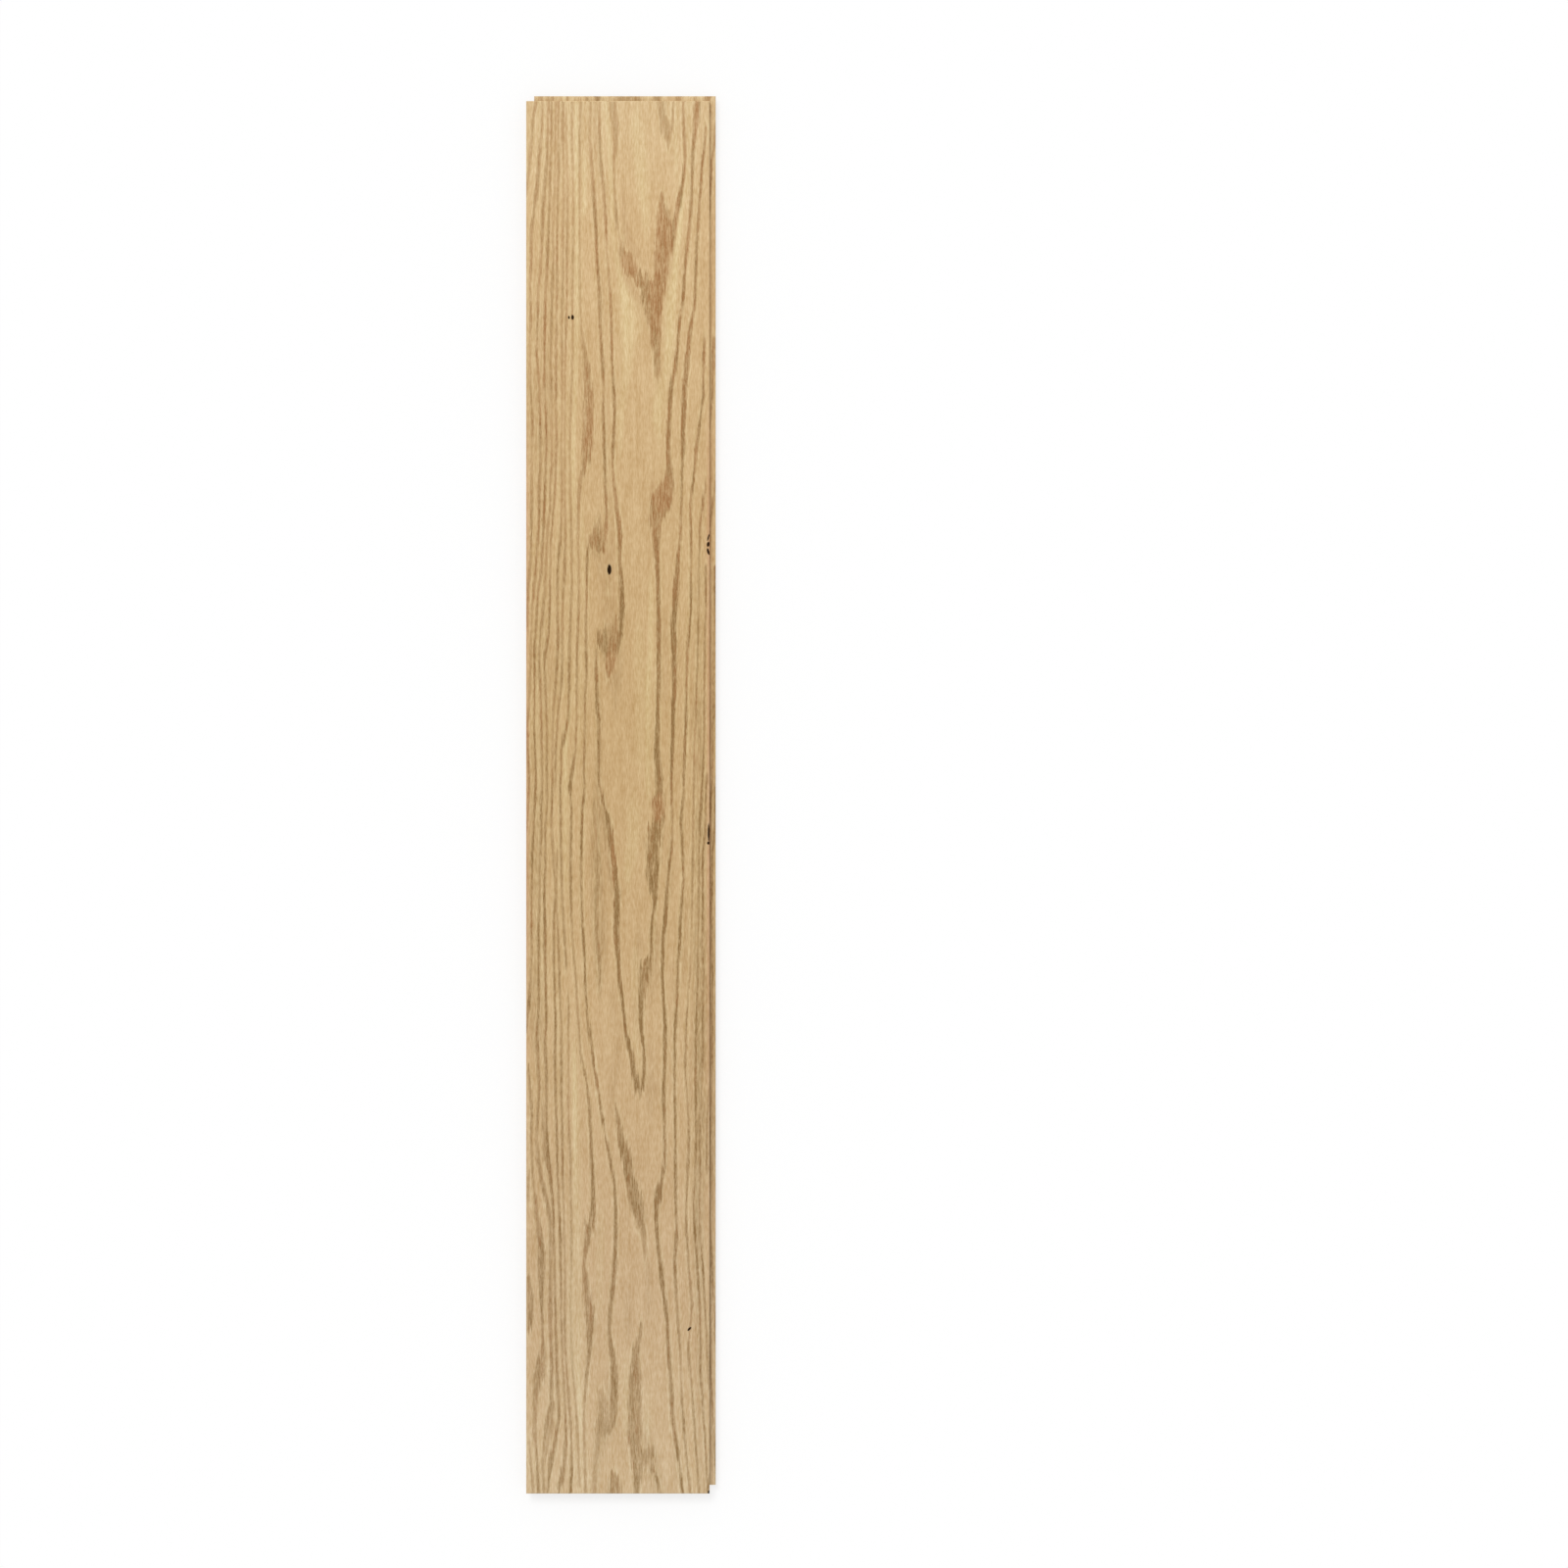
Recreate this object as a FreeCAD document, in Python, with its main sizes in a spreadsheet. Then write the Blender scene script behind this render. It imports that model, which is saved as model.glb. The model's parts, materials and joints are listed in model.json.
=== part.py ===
"""Wide plank floorboard: one sawn and moulded piece of solid oak, face up.

The board's length runs along Y, its width along X, and its back lies on the plane Z = 0.
The origin is at the middle of the back, under the middle of the face. The face is a plain
rectangle with a small bevel all round. A tongue stands out along the +X side and across the
+Y end, and a groove to take the next board's tongue runs along the -X side and across the
-Y end. Relief channels run the length of the back.
"""

import FreeCAD, Part
import os
import Sketcher

NODE = "floorboard"

# Driving dimensions in millimetres: alias, value, what it is.
DIMENSIONS = [
    ("face_width", 190.5, "width of the face that shows when laid, 7 1/2 in"),
    ("face_length", 1447.8, "length of the face that shows when laid, 57 in"),
    ("board_thickness", 19.05, "back to face, 3/4 in"),
    ("edge_bevel", 0.9, "bevel round the face, measured along the face"),
    ("tongue_reach", 6.35, "how far the tongue stands out of its shoulder"),
    ("tongue_height", 6.1, "thickness of the tongue"),
    ("tongue_drop", 7.95, "face down to the top of the tongue"),
    ("nose_radius", 1.2, "rounding of the tongue's two long corners"),
    ("joint_slack", 0.25, "room in the groove above the tongue, and again below it"),
    ("nose_room", 1.6, "room in the groove past the tongue's nose"),
    ("lower_setback", 0.8, "the joint's lower edges stand back, so that faces close first"),
    ("relief_count", 8, "channels in the back, an even number"),
    ("relief_pitch", 20.0, "middle of one channel to the middle of the next"),
    ("relief_width", 4.8, "width of a channel"),
    ("relief_depth", 3.2, "depth of a channel"),
    ("relief_radius", 0.8, "rounding in a channel's two inner corners"),
    ("end_waste", 5.0, "blank left past each end, which the end cutters take off"),
]


class Size:
    """A length that knows its value and the spreadsheet expression behind it."""

    def __init__(self, value, text):
        self.value = value
        self.text = text

    def __add__(self, other):
        return Size(self.value + other.value, f"({self.text} + {other.text})")

    def __sub__(self, other):
        return Size(self.value - other.value, f"({self.text} - {other.text})")

    def __mul__(self, factor):
        return Size(self.value * factor, f"({self.text} * {factor})")


def make_sheet(doc):
    """The spreadsheet of driving dimensions, and a Size for each of them by name."""
    sheet = doc.addObject("Spreadsheet::Sheet", "sheet")
    sizes = {}
    for row, (alias, value, meaning) in enumerate(DIMENSIONS, start=1):
        sheet.set(f"A{row}", alias)
        sheet.set(f"B{row}", str(value))
        sheet.set(f"C{row}", meaning)
        sheet.setAlias(f"B{row}", alias)
        sizes[alias] = Size(value, f"sheet.{alias}")
    doc.recompute()
    return sizes


def new_sketch(body, name, plane_role):
    """A sketch of the body on one of its own origin planes."""
    plane = next(f for f in body.Origin.OriginFeatures if f.Role == plane_role)
    sketch = body.newObject("Sketcher::SketchObject", name)
    sketch.AttachmentSupport = (plane, [""])
    sketch.MapMode = "FlatFace"
    return sketch


def pin_coordinate(sketch, kind, geometry, end, size):
    """Fixes one coordinate of a point, measured from the sketch's origin."""
    if size is None:
        axis = -2 if kind == "DistanceX" else -1
        sketch.addConstraint(Sketcher.Constraint("PointOnObject", geometry, end, axis))
        return
    made = sketch.addConstraint(
        Sketcher.Constraint(kind, -1, 1, geometry, end, size.value)
    )
    sketch.setExpression(f"Constraints[{made}]", size.text)


def rounded(corners):
    """Splits the corners into steps of the outline, each a point to go straight to, or an
    arc's (end point, centre, radius). Both edges at a rounded corner run along an axis."""
    steps = []
    count = len(corners)
    for index, (x, z, radius) in enumerate(corners):
        if radius is None:
            steps.append(((x, z), None))
            continue
        before, after = corners[index - 1], corners[(index + 1) % count]
        start, end, centre = [x, z], [x, z], [x, z]
        for side, neighbour in ((start, before), (end, after)):
            axis = 0 if abs(neighbour[0].value - x.value) > abs(neighbour[1].value - z.value) else 1
            towards = neighbour[axis].value > corners[index][axis].value
            moved = side[axis] + radius if towards else side[axis] - radius
            side[axis] = moved
            centre[axis] = moved
        steps.append((tuple(start), None))
        steps.append((tuple(end), (tuple(centre), radius)))
    return steps


def draw_outline(sketch, corners):
    """Draws a closed outline through the corners (x, z, radius or None), and pins every
    point of it to the driving dimensions. A coordinate of None lies on the sketch's axis."""
    zero = Size(0.0, "0")
    plain = [(x or zero, z or zero, radius) for x, z, radius in corners]
    steps = rounded(plain)
    count = len(steps)
    vectors = [FreeCAD.Vector(p[0].value, p[1].value, 0) for p, _ in steps]
    for index, (_, arc) in enumerate(steps):
        start, end = vectors[index - 1], vectors[index]
        if arc is None:
            sketch.addGeometry(Part.LineSegment(start, end), False)
            continue
        centre = FreeCAD.Vector(arc[0][0].value, arc[0][1].value, 0)
        middle = centre + ((start - centre) + (end - centre)).normalize() * arc[1].value
        sketch.addGeometry(Part.Arc(start, middle, end), False)
    for index, (point, arc) in enumerate(steps):
        following = (index + 1) % count
        end = _end_at(sketch, index, vectors[index])
        start = _end_at(sketch, following, vectors[index])
        sketch.addConstraint(
            Sketcher.Constraint("Coincident", index, end, following, start)
        )
        for kind, size in zip(("DistanceX", "DistanceY"), point):
            on_axis = None if size.text == "0" else size
            pin_coordinate(sketch, kind, index, end, on_axis)
        if arc is not None:
            made = sketch.addConstraint(Sketcher.Constraint("Radius", index, arc[1].value))
            sketch.setExpression(f"Constraints[{made}]", arc[1].text)


def _end_at(sketch, geometry, place):
    """1 for the start of a line or arc, 2 for its end, whichever lies at the place."""
    first = sketch.getPoint(geometry, 1)
    second = sketch.getPoint(geometry, 2)
    return 1 if first.distanceToPoint(place) < second.distanceToPoint(place) else 2


def joint_sizes(d):
    """Heights and depths of the joint, worked out from the tongue and the named clearances."""
    tongue_top = d["board_thickness"] - d["tongue_drop"]
    tongue_foot = tongue_top - d["tongue_height"]
    return {
        "tongue_top": tongue_top,
        "tongue_foot": tongue_foot,
        "groove_roof": tongue_top + d["joint_slack"],
        "groove_floor": tongue_foot - d["joint_slack"],
        "groove_depth": d["tongue_reach"] + d["nose_room"],
        "shoulder_top": d["board_thickness"] - d["edge_bevel"],
    }


def side_section(body, d, j):
    """Section across the board as the side moulder leaves it: tongue at +X, groove at -X.
    The sketch's origin is at the groove side's foot, so every distance is positive."""
    sketch = new_sketch(body, "side_section", "XZ_Plane")
    sketch.setExpression(".AttachmentOffset.Base.x", "-sheet.face_width / 2")
    sketch.setExpression(".AttachmentOffset.Base.z", "sheet.face_length / 2 + sheet.end_waste")
    far_side = d["face_width"]
    far_foot = d["face_width"] - d["lower_setback"]
    nose = d["face_width"] + d["tongue_reach"]
    corners = [
        (d["lower_setback"], None, None),
        (far_foot, None, None),
        (far_foot, j["tongue_foot"], None),
        (nose, j["tongue_foot"], d["nose_radius"]),
        (nose, j["tongue_top"], d["nose_radius"]),
        (far_side, j["tongue_top"], None),
        (far_side, j["shoulder_top"], None),
        (far_side - d["edge_bevel"], d["board_thickness"], None),
        (d["edge_bevel"], d["board_thickness"], None),
        (None, j["shoulder_top"], None),
        (None, j["groove_roof"], None),
        (j["groove_depth"], j["groove_roof"], None),
        (j["groove_depth"], j["groove_floor"], None),
        (d["lower_setback"], j["groove_floor"], None),
    ]
    draw_outline(sketch, corners)
    pad = body.newObject("PartDesign::Pad", "side_matched_blank")
    pad.Profile = sketch
    pad.Reversed = True
    pad.setExpression(
        "Length", "sheet.face_length + sheet.tongue_reach + 2 * sheet.end_waste"
    )


def through_cut(body, sketch, name):
    """A pocket that takes the sketch's outline out of the board from side to side."""
    cut = body.newObject("PartDesign::Pocket", name)
    cut.Profile = sketch
    cut.Type = "ThroughAll"
    cut.Midplane = True
    return cut


def end_tongue(body, d, j):
    """The cutter that leaves the end tongue at +Y: waste above it, below it and beyond it.
    The sketch's origin is in the waste below the back, one bevel and one lower setback
    inside the end shoulder, so every distance is positive."""
    sketch = new_sketch(body, "end_tongue_cutter", "YZ_Plane")
    sketch.setExpression(
        ".AttachmentOffset.Base.x",
        "sheet.face_length / 2 - sheet.edge_bevel - sheet.lower_setback",
    )
    sketch.setExpression(".AttachmentOffset.Base.y", "-sheet.end_waste")
    inside = d["edge_bevel"] + d["lower_setback"]
    floor = d["end_waste"]
    bevel_start = d["lower_setback"]
    nose = inside + d["tongue_reach"]
    outside = nose + d["end_waste"] * 2
    corners = [
        (d["edge_bevel"], None, None),
        (outside, None, None),
        (outside, floor + d["board_thickness"] + d["end_waste"], None),
        (bevel_start, floor + d["board_thickness"] + d["end_waste"], None),
        (bevel_start, floor + d["board_thickness"], None),
        (inside, floor + j["shoulder_top"], None),
        (inside, floor + j["tongue_top"], None),
        (nose, floor + j["tongue_top"], d["nose_radius"]),
        (nose, floor + j["tongue_foot"], d["nose_radius"]),
        (d["edge_bevel"], floor + j["tongue_foot"], None),
    ]
    draw_outline(sketch, corners)
    through_cut(body, sketch, "end_tongue")


def end_groove(body, d, j):
    """The cutter that squares the -Y end, bevels it and sinks the end groove.
    The sketch's origin is out in the waste past the end, below the back."""
    sketch = new_sketch(body, "end_groove_cutter", "YZ_Plane")
    sketch.setExpression(
        ".AttachmentOffset.Base.x", "-sheet.face_length / 2 - 2 * sheet.end_waste"
    )
    sketch.setExpression(".AttachmentOffset.Base.y", "-sheet.end_waste")
    floor = d["end_waste"]
    end = d["end_waste"] * 2
    corners = [
        (None, None, None),
        (end + d["lower_setback"], None, None),
        (end + d["lower_setback"], floor + j["groove_floor"], None),
        (end + j["groove_depth"], floor + j["groove_floor"], None),
        (end + j["groove_depth"], floor + j["groove_roof"], None),
        (end, floor + j["groove_roof"], None),
        (end, floor + j["shoulder_top"], None),
        (end + d["edge_bevel"], floor + d["board_thickness"], None),
        (end + d["edge_bevel"], floor + d["board_thickness"] + d["end_waste"], None),
        (None, floor + d["board_thickness"] + d["end_waste"], None),
    ]
    draw_outline(sketch, corners)
    through_cut(body, sketch, "end_groove")


def relief_channels(body, d):
    """Channels along the back that let the board lie flat, spaced evenly about its middle.
    The sketch's origin is one channel's depth below the back, so the cutter comes up
    through the back and as far again into the board."""
    sketch = new_sketch(body, "relief_section", "XZ_Plane")
    sketch.setExpression(
        ".AttachmentOffset.Base.x",
        "-((sheet.relief_count - 1) * sheet.relief_pitch + sheet.relief_width) / 2",
    )
    sketch.setExpression(".AttachmentOffset.Base.y", "-sheet.relief_depth")
    roof = d["relief_depth"] * 2
    corners = [
        (None, None, None),
        (d["relief_width"], None, None),
        (d["relief_width"], roof, d["relief_radius"]),
        (None, roof, d["relief_radius"]),
    ]
    draw_outline(sketch, corners)
    channel = through_cut(body, sketch, "relief_channel")
    body.Document.recompute()
    row = body.newObject("PartDesign::LinearPattern", "relief_row")
    row.Originals = [channel]
    row.Direction = (sketch, ["H_Axis"])
    row.Mode = "Spacing"
    row.setExpression("Offset", "sheet.relief_pitch")
    row.setExpression("Occurrences", "sheet.relief_count")
    body.Tip = row


def make_floorboard(doc, d):
    """The whole board: moulded sides, matched ends, relieved back."""
    body = doc.addObject("PartDesign::Body", NODE)
    body.Label = NODE
    joint = joint_sizes(d)
    side_section(body, d, joint)
    doc.recompute()
    end_tongue(body, d, joint)
    doc.recompute()
    end_groove(body, d, joint)
    doc.recompute()
    relief_channels(body, d)
    doc.recompute()
    return body


def check(doc, body):
    """Stops with a message if any feature failed or the board isn't one sound solid."""
    for item in doc.Objects:
        if "Invalid" in item.State or "Error" in item.State:
            raise RuntimeError(f"{item.Name} failed: {item.State}")
    shape = body.Shape
    if shape.isNull() or not shape.isValid() or len(shape.Solids) != 1:
        raise RuntimeError("the board is not one valid solid")


def main():
    doc = FreeCAD.newDocument("wide_plank_floorboard")
    sizes = make_sheet(doc)
    body = make_floorboard(doc, sizes)
    check(doc, body)
    os.makedirs("parts", exist_ok=True)
    body.Shape.exportStep(os.path.join("parts", f"{NODE}.step"))
    box = body.Shape.BoundBox
    print(f"{NODE}: volume {body.Shape.Volume:.0f} mm3, faces {len(body.Shape.Faces)}")
    print(f"x {box.XMin:.2f}..{box.XMax:.2f}")
    print(f"y {box.YMin:.2f}..{box.YMax:.2f}")
    print(f"z {box.ZMin:.2f}..{box.ZMax:.2f}")


main()
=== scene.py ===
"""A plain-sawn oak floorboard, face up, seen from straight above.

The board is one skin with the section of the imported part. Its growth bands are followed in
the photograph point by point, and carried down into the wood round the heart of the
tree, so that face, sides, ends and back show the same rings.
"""
import json
import math

import bmesh
import bpy
import numpy as np
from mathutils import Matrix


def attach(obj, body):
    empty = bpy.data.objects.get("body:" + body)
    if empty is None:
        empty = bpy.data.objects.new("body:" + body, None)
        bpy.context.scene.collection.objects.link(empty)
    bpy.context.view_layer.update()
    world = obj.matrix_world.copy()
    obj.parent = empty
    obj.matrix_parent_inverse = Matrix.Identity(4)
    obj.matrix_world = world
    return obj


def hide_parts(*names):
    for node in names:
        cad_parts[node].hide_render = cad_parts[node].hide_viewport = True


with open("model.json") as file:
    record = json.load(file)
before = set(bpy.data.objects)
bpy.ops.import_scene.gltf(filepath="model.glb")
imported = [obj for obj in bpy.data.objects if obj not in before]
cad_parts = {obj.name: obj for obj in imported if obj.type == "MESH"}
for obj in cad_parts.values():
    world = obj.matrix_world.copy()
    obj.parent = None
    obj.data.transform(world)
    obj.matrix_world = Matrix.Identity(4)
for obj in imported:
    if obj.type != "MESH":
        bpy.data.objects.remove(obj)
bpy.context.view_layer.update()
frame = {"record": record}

NODE = "floorboard"
MM = 0.001

# The part's sizes in millimetres: the outer ones from the frame, the joint's as in the part
MOUNTS = {m["name"]: m["pos_m"] for m in frame["record"]["mounts"]}
THICKNESS = MOUNTS["face"][2] / MM
HALF_WIDTH = MOUNTS["tongue_side_shoulder"][0] / MM
HALF_LENGTH = MOUNTS["tongue_end_shoulder"][1] / MM
TONGUE_REACH = MOUNTS["side_tongue"][0] / MM - HALF_WIDTH
TONGUE_TOP = 11.1
TONGUE_FOOT = 5.0
NOSE_RADIUS = 1.2
GROOVE_ROOF = 11.35
GROOVE_FLOOR = 4.75
GROOVE_DEPTH = 7.95
EDGE_BEVEL = 0.9
SETBACK = 0.8
CHANNELS = 8
CHANNEL_PITCH = 20.0
CHANNEL_WIDTH = 4.8
CHANNEL_DEPTH = 3.2
CHANNEL_RADIUS = 0.8

# The photograph: where the face's four edges lie in its 1600 by 1600 pixels
PHOTO_SIDE = 1600
FACE_LEFT = 536.9
FACE_RIGHT = 723.9
FACE_TOP = 103.3
FACE_BOTTOM = 1523.9
PIXEL = 2 * HALF_WIDTH / (FACE_RIGHT - FACE_LEFT)
MIDDLE_X = (FACE_LEFT + FACE_RIGHT) / 2
MIDDLE_Y = (FACE_TOP + FACE_BOTTOM) / 2

# The tree: its heart below the face, and the rings that the face never reaches
HEART_X = 9.8
HEART_DEPTH = 105.0
RING_STEP = 4.7
RING_HALF_BAND = 0.65
RING_START = 0.45
RING_TONE = 0.65
RING_TONE_SWING = 0.2
RING_TONE_TURN = 2.4
RING_TONE_LENGTH = 130
RING_WARMTH = 0.2

# How those rings drift along the board: rings either way, millimetres a radian, and start
RING_WAVES = [(0.9, 310, 0.7), (0.35, 97, 2.1), (0.15, 41, 0.0)]

# How far the figure is frayed along the grain, and in what cells across and down, in pixels
FRAY = 9.0
FRAY_CELL = (1.3, 34)
FRAY_SEED = 5

# A growth band: how fast it ends on the bark's side against the heart's, how fast it narrows
# past its ends, plus how much faster for each pixel of half its width, the depth of a place
# that no band comes near, and what the lists call full strength
BARK_FADE = 0.9
TAPER = 0.12
TAPER_GAIN = 0.2
FAR_OUTSIDE = -9.0
FULL = 9

# A soft-edged strip: how far it reaches in its half widths, and its fading ends in pixels
STRIP_REACH = 1.3
STRIP_FADE = 25

# What the skin's points carry at most: a place's depth inside a band in millimetres, and tone
BAND_DEPTHS = (-3, 6)
STRONGEST_TONE = 1.2

# Growth bands of the face, listed from the top end down: at each point
# (down, across) in pixels of the photograph, width in pixels, and darkness from 1 to 9
LEFT_BANDS = {
    "edge_top": [
        (104, 547, 2, 4), (120, 544, 3, 5), (137, 543.5, 2, 4), (158, 541, 2.5, 3),
        (180, 539.5, 2.5, 4), (198, 537.3, 1.5, 5)],
    "first": [
        (104, 553.5, 2, 4), (133, 552.8, 2, 5), (155, 551, 2.5, 5), (186, 548.5, 3, 6),
        (200, 547, 3, 6), (213, 545.8, 2, 6), (240, 542.3, 2.5, 5), (270, 542.2, 2.5, 7),
        (284, 541, 2, 3), (325, 541.8, 1.8, 6), (345, 541, 1.6, 3), (388, 541, 2, 4),
        (432, 543.7, 2, 6), (458, 542.5, 2, 3), (512, 542.8, 3, 4), (543, 542.2, 1.8, 7),
        (575, 541.3, 2, 4), (597, 539.5, 1.5, 6), (640, 538, 2, 3)],
    "second": [
        (104, 559.5, 2, 3), (130, 559, 2, 6), (160, 558.3, 2, 5), (185, 556.2, 3.2, 5),
        (228, 553.8, 3, 5), (262, 552.3, 2.5, 4), (290, 550, 2.5, 5), (305, 548.6, 1.6, 4),
        (315, 549, 2.5, 6), (348, 548, 1.6, 4), (362, 547.5, 2.5, 7), (382, 549.5, 2, 5),
        (408, 550.8, 2.5, 5), (437, 551.4, 1.8, 8), (465, 551.5, 2, 4), (500, 550.3, 3, 5),
        (530, 550.3, 2, 7), (552, 549, 1.8, 5), (588, 546.5, 2.5, 6), (615, 543.5, 1.6, 5),
        (655, 541.8, 1.8, 3), (705, 540.8, 2, 5), (742, 538.2, 1.5, 5)],
    "edge_middle": [
        (750, 538.5, 1.5, 5), (781, 539.3, 1.8, 7), (803, 539.8, 1.8, 6), (832, 538.5, 1.5, 5),
        (842, 537.8, 1.2, 4)],
    "third": [
        (104, 563, 1.8, 5), (130, 562.7, 1.8, 7), (155, 562.6, 1.6, 3), (172, 561.8, 1.6, 7),
        (190, 561, 1.8, 6), (228, 560.3, 1.8, 6), (258, 558.8, 2, 7), (277, 558.2, 1.8, 7),
        (295, 557, 2.4, 4), (322, 556.2, 2.2, 8), (357, 555.5, 1.8, 8), (363, 555.8, 2, 4),
        (388, 555.5, 1.8, 8), (405, 556.5, 1.6, 5), (425, 557.4, 1.8, 8), (462, 557.5, 1.6, 7),
        (485, 556.5, 1.6, 4), (512, 555.7, 2.2, 8), (545, 554.2, 2, 5), (587, 552.4, 1.8, 7),
        (610, 549.2, 2, 5), (640, 546.9, 1.6, 5), (657, 545.7, 1.5, 7), (703, 545.5, 1.6, 7),
        (740, 545.2, 1.4, 5), (760, 545.8, 1.8, 7), (790, 547, 1.6, 7), (817, 546.3, 2.2, 8),
        (840, 545, 2, 5), (865, 543.4, 1.8, 9), (885, 543.2, 1.6, 7), (920, 542.5, 1.6, 5),
        (948, 542.3, 1.8, 7), (972, 542.6, 1.8, 4), (1003, 541.5, 2, 5), (1024, 540, 2.5, 8),
        (1045, 537.5, 1.5, 5)],
    "fourth": [
        (104, 567.5, 1.5, 5), (140, 566.7, 1.5, 4), (187, 566, 1.6, 3), (225, 564.2, 1.8, 4),
        (265, 564.5, 2.5, 4), (322, 562.8, 2, 6), (360, 562.2, 2, 4), (390, 562.8, 2.2, 6),
        (410, 563, 1.5, 3), (450, 563, 2, 4), (475, 563.3, 1.8, 6), (495, 561.5, 1.5, 5),
        (517, 561.5, 1.6, 6), (533, 559.5, 1.8, 4), (560, 558, 2.2, 4), (605, 556, 2, 4),
        (632, 553.8, 2.5, 6), (655, 550.5, 2.5, 4), (675, 550.2, 1.8, 7), (703, 551.5, 2.2, 5),
        (755, 552.8, 2.2, 5), (797, 553.3, 2, 4), (819, 552.5, 2, 7), (850, 552.5, 2.5, 5),
        (892, 550.5, 2, 4), (915, 550.8, 2, 4), (957, 549.2, 2.2, 8), (980, 550, 2, 6),
        (1027, 549.8, 2, 7), (1053, 548, 3, 6), (1078, 549, 3, 6), (1112, 550.5, 2.2, 6),
        (1140, 548.8, 2, 6), (1165, 547.3, 2, 4), (1188, 550, 5, 5), (1218, 556, 3.5, 6),
        (1243, 561.5, 2.6, 5), (1297, 561.5, 2.2, 4), (1322, 562, 3.5, 6), (1348, 561.5, 3.5, 5),
        (1380, 563, 3, 7), (1428, 562.8, 2.8, 8), (1442, 560, 3.5, 7), (1465, 556.5, 3, 5),
        (1493, 553.5, 2, 5), (1523, 555, 2.4, 5)],
    "fourth_grey": [(1130, 555, 4, 3), (1145, 555, 4, 4), (1172, 556, 3.5, 4)],
    "edge_low": [
        (1090, 539.5, 2, 5), (1120, 542, 2.5, 5), (1140, 542.8, 1.8, 8), (1160, 542, 2, 4),
        (1187, 543, 1.8, 5), (1217, 544.8, 1.8, 3), (1232, 546.8, 2.5, 6), (1250, 549, 4, 5),
        (1275, 553, 6, 7), (1300, 552.3, 6, 7), (1330, 553, 2.2, 8), (1352, 553.3, 2, 6),
        (1372, 554.5, 2.5, 6), (1385, 554, 5, 6), (1398, 551, 11, 7), (1410, 549.5, 9, 7),
        (1422, 547.5, 6, 5), (1434, 546.5, 4, 4), (1460, 545.5, 3.5, 5), (1490, 548, 2, 6),
        (1523, 549.8, 2.4, 6)],
    "edge_patch": [(1300, 539, 2, 5), (1320, 541.5, 5, 5), (1350, 541.5, 5, 7), (1358, 539.5, 2, 3)],
    "edge_foot": [(1470, 540, 2, 4), (1505, 543.3, 1.8, 5), (1523, 544, 2, 4)],
    "edge_short": [(1200, 539.3, 1.6, 4), (1225, 539, 2, 4)],
    "loop": [
        (1430, 566, 1.6, 4), (1440, 562.5, 5, 6), (1450, 563, 4, 5), (1468, 560.5, 3, 3),
        (1485, 556, 1.8, 4)],
    "fifth": [
        (104, 570.2, 1.8, 6), (140, 570, 1.6, 4), (175, 570.2, 1.8, 5), (205, 569, 1.6, 5),
        (255, 568.4, 1.8, 7), (290, 568.8, 1.8, 6), (328, 567.5, 1.4, 5), (337, 568.3, 1.8, 7),
        (353, 567.3, 1.6, 5), (378, 567.4, 1.8, 8), (398, 567.6, 1.8, 8), (413, 567.2, 1.5, 4),
        (455, 568, 1.8, 7), (485, 567.2, 1.6, 5), (515, 566, 1.8, 5), (537, 563.3, 1.8, 6),
        (555, 561.8, 1.6, 4), (588, 561.5, 1.8, 5), (627, 561, 1.8, 7), (645, 560, 1.8, 8),
        (657, 558, 2.5, 5), (675, 555.3, 2, 6), (700, 556.8, 1.8, 6), (740, 558.3, 1.6, 4),
        (780, 558, 1.8, 5), (822, 558.4, 1.6, 4), (845, 556.5, 1.6, 5), (880, 556.3, 1.6, 6),
        (912, 555.5, 1.8, 7), (946, 556, 2.5, 8), (985, 556.5, 2.2, 6), (1040, 557.8, 1.8, 7),
        (1060, 556, 2.2, 6), (1083, 557, 2.5, 7), (1125, 558, 2.2, 5), (1146, 557.4, 2.2, 8),
        (1172, 558.3, 3, 8), (1190, 560.3, 4, 8), (1220, 563.2, 2, 6), (1240, 564.8, 2, 8),
        (1285, 565.8, 1.8, 5), (1340, 567, 1.8, 8), (1390, 568.3, 2.4, 6), (1430, 569.8, 2.4, 7),
        (1447, 570.5, 2.5, 8), (1462, 568, 3, 6), (1485, 563, 5, 7), (1503, 560.3, 2, 8),
        (1523, 558.2, 2, 5)],
    "sixth": [
        (104, 574.8, 2, 5), (137, 574, 2, 6), (170, 575.3, 1.4, 3), (213, 575, 1.8, 4),
        (253, 574.2, 2, 5), (290, 574.4, 1.6, 5), (330, 573, 1.6, 3), (355, 573.5, 1.8, 6),
        (405, 573.5, 1.6, 3), (465, 573, 1.5, 3), (502, 573.3, 1.8, 5), (525, 573, 1.6, 4),
        (557, 571.3, 2.2, 6), (583, 569.3, 2.2, 5), (615, 568.7, 1.8, 5), (655, 569.5, 2.4, 7),
        (683, 568, 2.4, 6), (725, 564.5, 1.5, 4), (785, 563.5, 1.5, 4), (820, 563.4, 1.6, 7),
        (845, 563, 2, 3), (884, 565.4, 1.6, 5), (912, 567, 1.5, 4), (935, 565, 2, 5),
        (985, 565.3, 1.8, 6), (1045, 567.2, 1.6, 7), (1078, 566.3, 2.2, 7), (1127, 567.2, 1.6, 5),
        (1150, 568.2, 2, 8), (1182, 568.8, 1.6, 7), (1230, 570.3, 1.6, 6), (1256, 571.6, 1.8, 9),
        (1297, 572.5, 1.5, 6), (1345, 572.4, 1.4, 6), (1390, 574.2, 1.5, 6), (1433, 576.8, 2, 6),
        (1475, 577.8, 2.2, 7), (1497, 576, 3.5, 6), (1520, 571, 5, 8)],
    "seventh": [
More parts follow.
